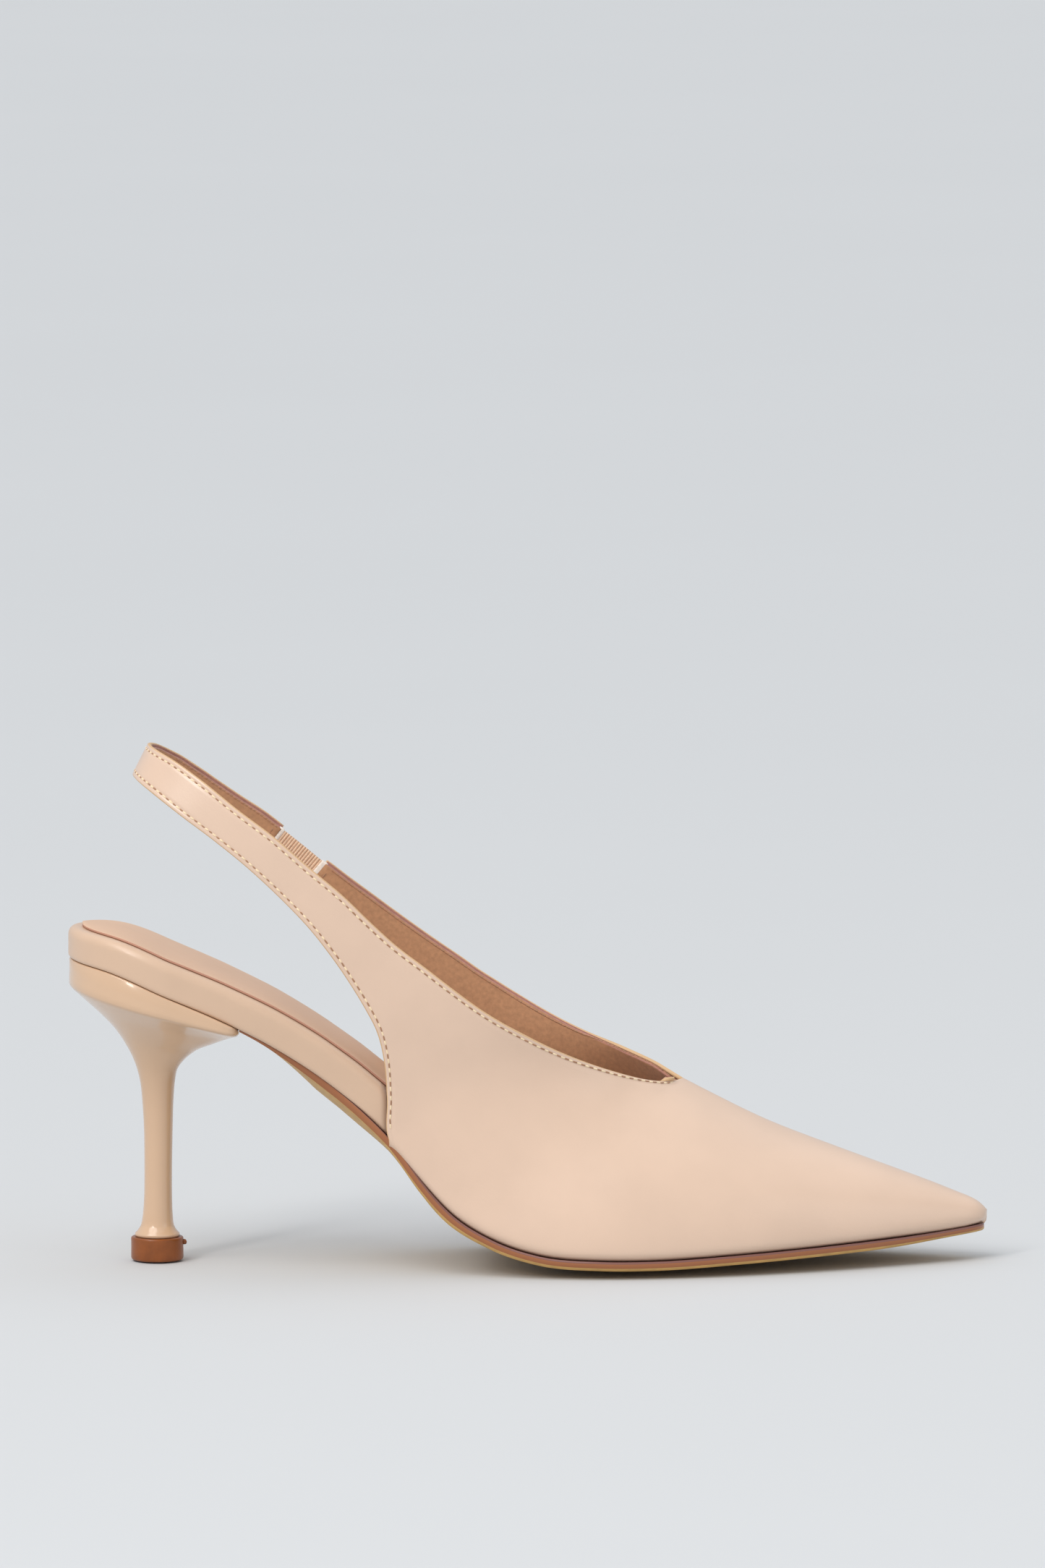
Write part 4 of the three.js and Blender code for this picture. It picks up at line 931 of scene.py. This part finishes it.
def stitching(tree, inside):
    """Stitches of the vamp piece and of the strap piece, on one side of the upper."""
    def laid(line, places):
        return stitch_frames(tree, moved_inside(line) if inside else line, places)

    vamp_side, strap_side = [], []
    for start, upper in ((THROAT + THROAT_CLEAR, True), (LATERAL_CORNER, False)):
        for stitch in laid(*seam_line(start, STRAP_END - LINE_STOP, upper)):
            (vamp_side if stitch[2] < LATERAL_SPLIT else strap_side).append(stitch)
    vamp_side += laid(*seam_line(TAIL_END + LINE_STOP, LAST - THROAT - THROAT_CLEAR, True))
    vamp_side += laid(*seam_line(TAIL_END + LINE_STOP, MEDIAL_CORNER, False))
    vamp_side += laid(*across_line(TAIL_END + BOX_SEAM))
    strap_side += laid(*across_line(STRAP_END - BOX_SEAM))
    return stitch_mesh(vamp_side), stitch_mesh(strap_side)


outer_vamp, outer_strap = stitching(leather_tree(vamp_leather, strap_leather), inside=False)
inner_vamp, inner_strap = stitching(leather_tree(vamp_lining, strap_lining), inside=True)
outer_thread, inner_thread = [thread, needle_hole_shade], [lining_thread, needle_hole_shade]
vamp_stitches = make_object("vamp_stitching", outer_vamp, outer_thread)
strap_stitches = make_object("strap_stitching", outer_strap, outer_thread)
vamp_inner_stitches = make_object("vamp_inner_stitching", inner_vamp, inner_thread)
strap_inner_stitches = make_object("strap_inner_stitching", inner_strap, inner_thread)

# ---- elastic gore
TONGUE = 0.35  # how far the elastic reaches under the leather, ribs
ELASTIC_ROWS, ELASTIC_POINTS = 220, 18
ELASTIC_SPAN = (0.07, 0.93)  # of the strap's width
ELASTIC_OUTSIDE, ELASTIC_INSIDE = -1.0, -1.75
RIPPLE = 0.12
# Faces in the valleys get the darker valley colour, a painted shade.
VALLEY = 0.45  # waves lower than this are valleys
MEASURED_ROW = 20  # of the strap's rows, the one along which ribs are counted


def elastic_mesh():
    """Ribbed elastic, with its valleys in material 1, a darker colour that paints their shade."""
    rows = [rib_points(p)[1] for p in np.linspace(STRAP_END - TONGUE, TAIL_END + TONGUE, ELASTIC_ROWS)]
    run = run_along([row[MEASURED_ROW] for row in rows])
    shares = np.linspace(*ELASTIC_SPAN, ELASTIC_POINTS)
    surface = grid([points_at(shares * run_along(row)[-1], row) for row in rows])
    wave = np.abs(np.sin(math.pi * run / ELASTIC_RIB))
    ripple = np.repeat(2 * RIPPLE * wave - RIPPLE, ELASTIC_POINTS)
    normals = vertex_normals(surface)
    inner_faces = [f[::-1] for f in surface.faces]
    mesh = Mesh(surface.points + normals * (ELASTIC_OUTSIDE + ripple)[:, None], surface.faces)
    mesh.add(Mesh(surface.points + normals * (ELASTIC_INSIDE - ripple)[:, None], inner_faces))
    count = len(surface.points)
    mesh.faces += [(b, a, a + count, b + count) for a, b in border_edges(surface)]
    rows_of = [min(i % count for i in face) // ELASTIC_POINTS for face in mesh.faces]
    mesh.marks = [int(wave[row] < VALLEY) for row in rows_of]
    return mesh


gore = make_object("elastic_gore_ribbed", elastic_mesh(), [elastic_yarn, elastic_valley_shade])


TAPE_OUTSIDE, TAPE_INSIDE = -0.75, -2.05
TAPE_INSET = 3  # rows of the strap that a tape leaves bare at each edge


def gore_tape(name, start, end):
    """A folded white tape across the elastic's end."""
    rows = [rib_points(p)[1][TAPE_INSET:-TAPE_INSET] for p in np.linspace(start, end, 5)]
    mesh = shell(grid(rows), TAPE_OUTSIDE, TAPE_INSIDE, bulge=0.8)
    return make_object(name, mesh, [white_tape, white_tape])


tape_front = gore_tape("gore_tape_front", TAIL_END - 0.11, TAIL_END + 0.06)
tape_rear = gore_tape("gore_tape_rear", STRAP_END - 0.06, STRAP_END + 0.08)

# ---- footbed
SHANK_BOARD_START = 1.45  # above the footbed's underside
SHANK_BOARD, INSOLE_BOARD = 1.2, 1.4
FIT = 0.2
FOAM_START = SHANK_BOARD_START + SHANK_BOARD + FIT + INSOLE_BOARD + FIT
HEEL_FOAM, TREAD_FOAM = 3.0, 1.6
FOAM_TAPER = (66 * grade, 44 * grade)  # start and length
WRAP_FRONT = 61.5 * grade
WRAP_RISE = 0.5  # of the wrap's lip above the foam
WRAP_FOOT = 1.0  # radius of the wrap's lower corner
WRAP_STATIONS = 181


def foam_top(x):
    return FOAM_START + lerp(HEEL_FOAM, TREAD_FOAM, ease(x, *FOAM_TAPER))


def wrap_top(x):
    return foam_top(x) + WRAP_RISE + WRAP


def arc(cx, cy, radius, start, end, steps):
    return [(cx + radius * math.cos(a), cy + radius * math.sin(a))
            for a in np.radians(np.linspace(start, end, steps))]


def wrap_section(top):
    """The wrap's outside as (depth in from the edge, height), from its bottom margin to its lip."""
    side = [(0.0, lerp(WRAP_FOOT, top - EDGE_RADIUS, t)) for t in (0.15, 0.5, 0.85)]
    return ([(8, 0), (4, 0)] + arc(WRAP_FOOT, WRAP_FOOT, WRAP_FOOT, 270, 180, 5) + side
            + arc(EDGE_RADIUS, top - EDGE_RADIUS, EDGE_RADIUS, 180, 90, 9) + [(5.0, top), (7.5, top)])


def wrap_mesh():
    rows = []
    for side in np.linspace(-1, 1, WRAP_STATIONS):
        x = lerp(HEEL_BACK + NUDGE, WRAP_FRONT, side * side)
        y = float(centre(x) + (1 if side >= 0 else -1) * bed_half(x))
        section = [(inward(x, y, depth), h) for depth, h in wrap_section(float(wrap_top(x)))]
        rows.append([(*xy, float(level(*xy, h))) for xy, h in section])
    return shell(grid(rows), 0, -WRAP, bulge=0)


footbed_wrap = make_object("footbed_wrap_leather", wrap_mesh(), [wrap_leather, wrap_leather])


SOCK_GAP = 0.15
SOCK_STEP = (WRAP_FRONT, 12)  # start and length of the step down off the wrap
SOCK_EDGE = [(1.0, 0.0), (1.0, 0.15), (0.997, 0.35), (0.985, 0.5)]
SOCK_EDGE_TOP = 0.55
SOCK_STATIONS, SOCK_POINTS = 110, 31
SOCK_TIP, SOCK_TIP_REACH = 14, 14.2  # length of the rounded tip


def sock_bottom(x):
    return lerp(wrap_top(x) + SOCK_GAP, foam_top(x) + FIT, ease(x, *SOCK_STEP))


def sock_section():
    """The sock across, as (share of the half width, height): cut edge, top, cut edge, underside."""
    top = [(v, SOCK_EDGE_TOP + SOCK_DOME * (1 - abs(v) ** 3))
           for v in np.linspace(0.955, -0.955, SOCK_POINTS)]
    under = [(v, 0.0) for v in np.linspace(-0.9, 0.9, 9)]
    return SOCK_EDGE + top + [(-v, h) for v, h in reversed(SOCK_EDGE)] + under


def laid_across(x, half, lift, section):
    """A section of (share of the half width, height) laid across the footbed at x."""
    points = []
    for v, h in section:
        y = float(centre(x)) + v * half
        points.append((x, y, float(level(x, y, lift + h))))
    return points


def sock_mesh():
    """The domed sock, with its cut edge in material 1, darkened as painted shade of the gap at the wrap."""
    outline = Outline(-SOCK_INSET)
    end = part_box("sock")[1].x / MM
    angle = np.linspace(0.02, math.pi * 0.985, SOCK_STATIONS)
    section = sock_section()
    rows = []
    for x in lerp(outline.start, end, (1 - np.cos(angle)) / 2):
        half = float(outline.half(x))
        if x > end - SOCK_TIP:
            half *= math.sqrt(max(0.0, 1 - ((x - end + SOCK_TIP) / SOCK_TIP_REACH) ** 2))
        rows.append(laid_across(x, half, sock_bottom(x), section))
    mesh = capped(grid(rows, closed=True), len(section))
    far_edge = len(SOCK_EDGE) + SOCK_POINTS
    for k, face in enumerate(mesh.faces):
        places = {i % len(section) for i in face}
        on_near_edge = max(places) < len(SOCK_EDGE) - 1
        on_far_edge = far_edge <= min(places) and max(places) < far_edge + len(SOCK_EDGE)
        mesh.marks[k] = int(on_near_edge or on_far_edge)
    return mesh


sock = make_object("sock_lining", sock_mesh(), [sock_leather, sock_rim_gap_shade])

# ---- outsole
BREAST, VAMP_REAR = 22.4 * grade, 62.3 * grade
tread, waist = Outline(UPPER_BUILD - SOLE_INSET), Outline(-WAIST_INSET)
# where along the sole each change happens: start and length
WIDENING = (40 * grade, 30 * grade)
DROPPING = (VAMP_REAR - 1, 13)
BEAD_GROWTH = (VAMP_REAR, 12)
KEEL_FADE = (50 * grade, 26 * grade)
KEEL_GROWTH = 20 * grade
THICKENING = (BREAST, 24 * grade)
TOE_PARING = (190 * grade, 25 * grade)
PAINT_CHANGE = (52 * grade, 30 * grade)
# shares of the sole's full thickness
BREAST_SHARE, TOE_SHARE, TIP_SHARE = 0.3, 0.72, 0.55
KEEL_POINTS = 11
UNDERSIDE_POINTS = 2 * (3 + KEEL_POINTS) - 1  # painted edge, bevel and underside of a ring
SOLE_STATIONS, SOLE_STEP = 170, 1.6


def sole_half(x):
    return lerp(waist.half(x), tread.half(x), ease(x, *WIDENING))


def keel(x):
    started = np.clip((x - BREAST) / KEEL_GROWTH, 0, 1)
    return WAIST_KEEL * started * (1 - ease(x, *KEEL_FADE))


def sole_thickness(x):
    """Thin at the breast, full under the forefoot, and pared and rounded off at the toe."""
    waist_share = lerp(BREAST_SHARE, 1, ease(x, *THICKENING))
    toe_share = lerp(1, TOE_SHARE, ease(x, *TOE_PARING))
    tip = np.clip((tread.end - x) / TIP_ROUND, 0, 1)
    return SOLE * waist_share * toe_share * lerp(TIP_SHARE, 1, np.sqrt(tip * (2 - tip)))


def sole_ring(x):
    """The sole across at x: the painted edge, the bevel, the underside, and back over the top."""
    half, thick, drop = float(sole_half(x)), float(sole_thickness(x)), float(keel(x))
    inner = max(0.0, 1 - BEVEL_WIDTH / max(half, 0.1))
    bead = max(0.0, 1 - BEAD_WIDTH / max(half, 0.1))
    painted = thick * float(lerp(WAIST_PAINTED, PAINTED_SHARE, ease(x, *PAINT_CHANGE)))
    under = [(1, painted), (lerp(inner, 1, 0.3), lerp(painted, thick, 0.7)), (inner, thick)]
    under += [(inner * v, thick + drop * (1 - v * v)) for v in np.linspace(0.93, 0, KEEL_POINTS)]
    lift = BEAD_HEIGHT * float(ease(x, *BEAD_GROWTH))
    lip = [(1, 0.12), (0.998, -lift), (bead, -lift)]
    ring = [(-v, h) for v, h in under] + under[::-1][1:] + lip
    ring += [(bead * v, 0) for v in np.linspace(0.9, -0.9, 15)]
    ring += [(-v, h) for v, h in reversed(lip)]
    top = -float(lerp(WAIST_DROP, TREAD_DROP, ease(x, *DROPPING)))
    return laid_across(x, half, top, [(v, -depth) for v, depth in ring])


def outsole_mesh():
    """The sole, with its underside in material 1 and its top and bead in material 2."""
    angle = np.linspace(0, math.pi, SOLE_STATIONS)
    xs = np.unique(np.r_[lerp(BREAST + 2 * NUDGE, tread.end - 2 * NUDGE, (1 - np.cos(angle)) / 2),
                         np.arange(BREAST + 1, tread.end - 4, SOLE_STEP)])
    rows = [sole_ring(x) for x in xs]
    count = len(rows[0])
    mesh = capped(grid(rows, closed=True), count)
    for k, face in enumerate(mesh.faces):
        places = [i % count for i in face]
        if len(face) == 4 and max(places) < UNDERSIDE_POINTS:
            mesh.marks[k] = 1
        elif len(face) == 4 and min(places) >= UNDERSIDE_POINTS:
            mesh.marks[k] = 2
    return mesh


outsole = make_object("outsole_finished", outsole_mesh(), [sole_edge, sole_under, sole_bead])

# ---- heel
# Each section: back point x, z, front point x, z, half width, how square its front is.
HEEL_SECTIONS = [
    (-5.95, 6.35, 5.95, 6.35, 5.95, 0), (-6.0, 7.0, 6.0, 7.0, 6.0, 0), (-5.3, 7.8, 5.3, 7.8, 5.3, 0),
    (-4.4, 9.2, 4.5, 9.2, 4.4, 0), (-3.85, 12.2, 4.15, 12.2, 3.95, 0), (-3.5, 17, 4.0, 17, 3.75, 0),
    (-3.4, 23.6, 4.0, 23.6, 3.7, 0), (-3.5, 35.2, 4.2, 35.2, 3.8, 0), (-3.95, 43, 4.45, 43, 4.15, 0),
    (-4.4, 47.4, 4.8, 47.6, 4.65, 0), (-5.2, 51, 5.5, 51.2, 5.5, 0.04), (-6.6, 54.8, 7.4, 53.9, 7.1, 0.09),
    (-8.7, 58.7, 10.9, 56.8, 9.7, 0.18), (-11.5, 62.7, 15.5, 58.9, 13.4, 0.3),
    (-15.2, 66.6, 19.3, 60.7, 17.4, 0.46), (-19.2, 70.3, 21.3, 61.8, 21.4, 0.7),
    (-22.3, 73.1, 22.0, 62.4, 24.2, 0.95)]
# the seat band's rings: inset, height at the back, height at the front
BAND_RINGS = ((0.25, 74.0, 62.8), (0.0, 74.6, 63.0), (0.02, 76.5, 63.6), (0.1, 78.5, 64.1))
BAND_INSET = 0.15
# the top under the footbed: share of the outline, depth
SEAT_RINGS = ((1, 0.5), (0.992, 0.22), (0.97, 0.1), (0.7, 0.1), (0.4, 0.1))
HEEL_STATIONS, HEEL_SIDES = 90, 120
FRONT_SQUARE = 10  # exponent of the breast's squarest section


def heel_ring(back, front, half, square):
    """A ring from a back point to a front point, round behind and squarer in front."""
    back, front = np.array(back, float), np.array(front, float)
    middle = lerp(0.5, 0.6, square)
    ring = []
    for a in (np.arange(HEEL_SIDES) + 0.5) * 2 * math.pi / HEEL_SIDES:
        c, s = math.cos(a), math.sin(a)
        power = 2 / lerp(2, FRONT_SQUARE, square) if c > 0 else 1
        u = lerp(middle, 1, abs(c) ** power) if c > 0 else lerp(middle, 0, -c)
        point = back + (front - back) * u
        ring.append((point[0], math.copysign(abs(s) ** power, s) * half, point[2]))
    return ring


def heel_mesh():
    table = np.array(HEEL_SECTIONS)
    run = run_along(table[:, :2])
    fine = np.unique(np.r_[np.linspace(0, run[-1], HEEL_STATIONS), run])
    place = np.interp(fine, run, np.arange(len(table)))
    sections = np.hstack([spline(table[:, :3])(place), spline(table[:, 3:])(place)])
    rings = [heel_ring((bx, 0, bz), (fx, 0, fz), half, min(max(square, 0), 1))
             for bx, bz, fx, fz, half, square in sections]
    for inset, bz, fz in BAND_RINGS:
        back, front = (HEEL_BACK + BAND_INSET + inset, 0, bz), (BREAST - inset, 0, fz)
        rings.append(heel_ring(back, front, SEAT_HALF - inset, 1))
    seat = heel_ring((HEEL_BACK + BAND_INSET + 0.1, 0, 0), (BREAST - 0.05, 0, 0), SEAT_HALF - 0.1, 1)
    for share, drop in SEAT_RINGS:
        ring = [(lerp(SEAT_CENTRE, x, share), y * share) for x, y, _ in seat]
        rings.append([(x, y, float(level(x, y, -drop))) for x, y in ring])
    return capped(grid(rings, closed=True), HEEL_SIDES)


heel = make_object("heel_moulded", heel_mesh(), [heel_plastic])

# ---- top piece
TOP_RADIUS, TOP_HEIGHT = 7.0, 6.2
LOWER_ROUND, UPPER_ROUND = 0.7, 0.5
TOP_SIDES = 72
NUB_LENGTH, NUB_RADIUS = 1.6, 0.75
# radius and height of each ring, from the middle of the ground face to the middle of the top
TOP_PROFILE = (
    [(0.0, 0.0), (3.0, 0.0), (6.0, 0.0)]
    + arc(TOP_RADIUS - LOWER_ROUND, LOWER_ROUND, LOWER_ROUND, 270, 360, 6)
    + [(TOP_RADIUS, 2.0), (TOP_RADIUS - 0.03, 3.5), (TOP_RADIUS, 5.2)]
    + arc(TOP_RADIUS - UPPER_ROUND, TOP_HEIGHT - UPPER_ROUND, UPPER_ROUND, 0, 90, 6)
    + [(5.0, TOP_HEIGHT), (0.0, TOP_HEIGHT)])


def top_piece_mesh():
    """The top piece with its moulding nub, and its ground face in material 1."""
    turns = np.linspace(0, 2 * math.pi, TOP_SIDES, endpoint=False)
    rows = [[(r * math.cos(a), r * math.sin(a), z) for a in turns] for r, z in TOP_PROFILE]
    mesh = grid(rows, closed=True)
    for k, face in enumerate(mesh.faces):
        mesh.marks[k] = int(mesh.points[list(face)][:, 2].max() < 0.05)
    nub = capsule(NUB_LENGTH, NUB_RADIUS, flatten=1.0)
    nub.points += (7.1, 0, 4.7)
    return merged(mesh).add(nub, 0)


top_piece = make_object("top_piece_moulded", top_piece_mesh(), [top_piece_rubber, top_piece_cut])

# ---- riding and replacing
for piece in (footbed_wrap, sock, outsole, heel, top_piece):
    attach(piece, "shoe")
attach(tape_front, "strap_base")
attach(tape_rear, "strap_loop")


def middle_of(place):
    return rib_points(place)[1].mean(0) * MM


def across_shoe(lateral, medial):
    """The point between a lateral and a medial place, counted from the first rear ribs."""
    return tuple((middle_of(LATERAL_REAR_START + lateral) + middle_of(MEDIAL_REAR_START + medial)) / 2)


for piece in (vamp_leather, vamp_lining, vamp_stitches, vamp_inner_stitches):
    across_shoe(3, 12.1)
    across_shoe(5.4, 9.6)
    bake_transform(piece)
stretch_start = tuple(middle_of(LATERAL_REAR_START + 5.9))
stretch_end = tuple(middle_of(LATERAL_REAR_START + 6.9))
for piece in (strap_leather, strap_lining, strap_stitches, strap_inner_stitches):
    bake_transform(piece)
tuple(middle_of(TAIL_END))
tuple(middle_of(STRAP_END))
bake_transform(gore)

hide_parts("vamp", "toe_puff", "quarter_bend_lateral", "quarter_bend_medial", "quarter_tail",
            "forefoot_filler")
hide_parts("vamp_lining", "quarter_tail_lining")
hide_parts("strap", "strap_root", "strap_bend", "strap_tape")
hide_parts("strap_lining", "strap_root_lining")
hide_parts("elastic_gore")
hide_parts("footbed_wrap", "footbed_foam")
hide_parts("sock")
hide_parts("outsole")
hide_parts("heel")
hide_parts("top_piece")

for name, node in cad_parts.items():
    if node.hide_render:
        continue
    node.data.materials.clear()
    node.data.materials.append(fibreboard if "board" in name else steel)

# ---- floor, light, camera
GREY = srgb(207, 209, 211)
WARM = (1.0, 0.965, 0.93)
AIM = Vector((0.098, 0.0, 0.05))  # point that the camera and every light look at
FLOOR_LEVEL = -0.0004
FLOOR_REACH = 14.0
FLOOR_CELLS = 29


def studio_floor():
    steps = np.linspace(-FLOOR_REACH, FLOOR_REACH, FLOOR_CELLS)
    mesh = grid([[(x / MM, y / MM, FLOOR_LEVEL / MM) for x in steps] for y in steps])
    material = new_material("pale_floor", GREY, 0.9)
    mottle(material, GREY, dark=0.995, light=1.005, scale=3)
    return make_object("studio_floor", mesh, [material])


studio_floor()


def place_light(name, data, position):
    light = bpy.data.objects.new(name, data)
    light.location = position
    light.rotation_euler = (AIM - Vector(position)).to_track_quat("-Z", "Y").to_euler()
    bpy.context.scene.collection.objects.link(light)


def softbox(name, position, width, height, power):
    data = bpy.data.lights.new(name, "AREA")
    data.shape = "RECTANGLE"
    data.size, data.size_y = width, height
    data.energy = power
    data.color = WARM
    place_light(name, data, position)


def broad_light(name, position, strength, spread):
    """A very large far light, even over the whole floor; spread is its width in degrees."""
    data = bpy.data.lights.new(name, "SUN")
    data.energy = strength
    data.angle = math.radians(spread)
    data.color = WARM
    place_light(name, data, position)


broad_light("key_light", (-0.5, -0.8, 1.4), 1.25, 40)
broad_light("top_light", (0.2, 0.35, 1.6), 0.5, 80)
softbox("left_softbox", (-1.0, -1.6, 1.25), 0.3, 0.7, 10)
softbox("right_fill", (1.6, -0.9, 0.8), 1.0, 1.0, 2)
world = bpy.data.worlds.new("studio")
bpy.context.scene.world = world
world.use_nodes = True
background = world.node_tree.nodes["Background"]
background.inputs["Color"].default_value = (0.90, 0.95, 1.0, 1)
background.inputs["Strength"].default_value = 0.61

ELEVATION = math.radians(7.5)
DISTANCE = 4.0
IMAGE_HEIGHT = 0.4184  # metres of the shoe's plane that the picture's height covers
FRAME_X = 0.09756  # picture's middle, across
FRAME_RISE = 0.1268  # picture's middle above the origin, measured up the picture
SENSOR = 36.0


def add_camera():
    data = bpy.data.cameras.new("camera")
    data.sensor_width = SENSOR
    data.lens = SENSOR * DISTANCE / IMAGE_HEIGHT
    data.clip_end = 50
    camera = bpy.data.objects.new("camera", data)
    shoe_rise = AIM.z * math.cos(ELEVATION)
    tilt = math.atan((FRAME_RISE - shoe_rise) / DISTANCE)
    camera.location = (FRAME_X, -DISTANCE * math.cos(ELEVATION), AIM.z + DISTANCE * math.sin(ELEVATION))
    camera.rotation_euler = (math.pi / 2 - ELEVATION + tilt, 0, 0)
    bpy.context.scene.collection.objects.link(camera)
    bpy.context.scene.camera = camera


add_camera()
bpy.context.scene.view_settings.view_transform = "Standard"
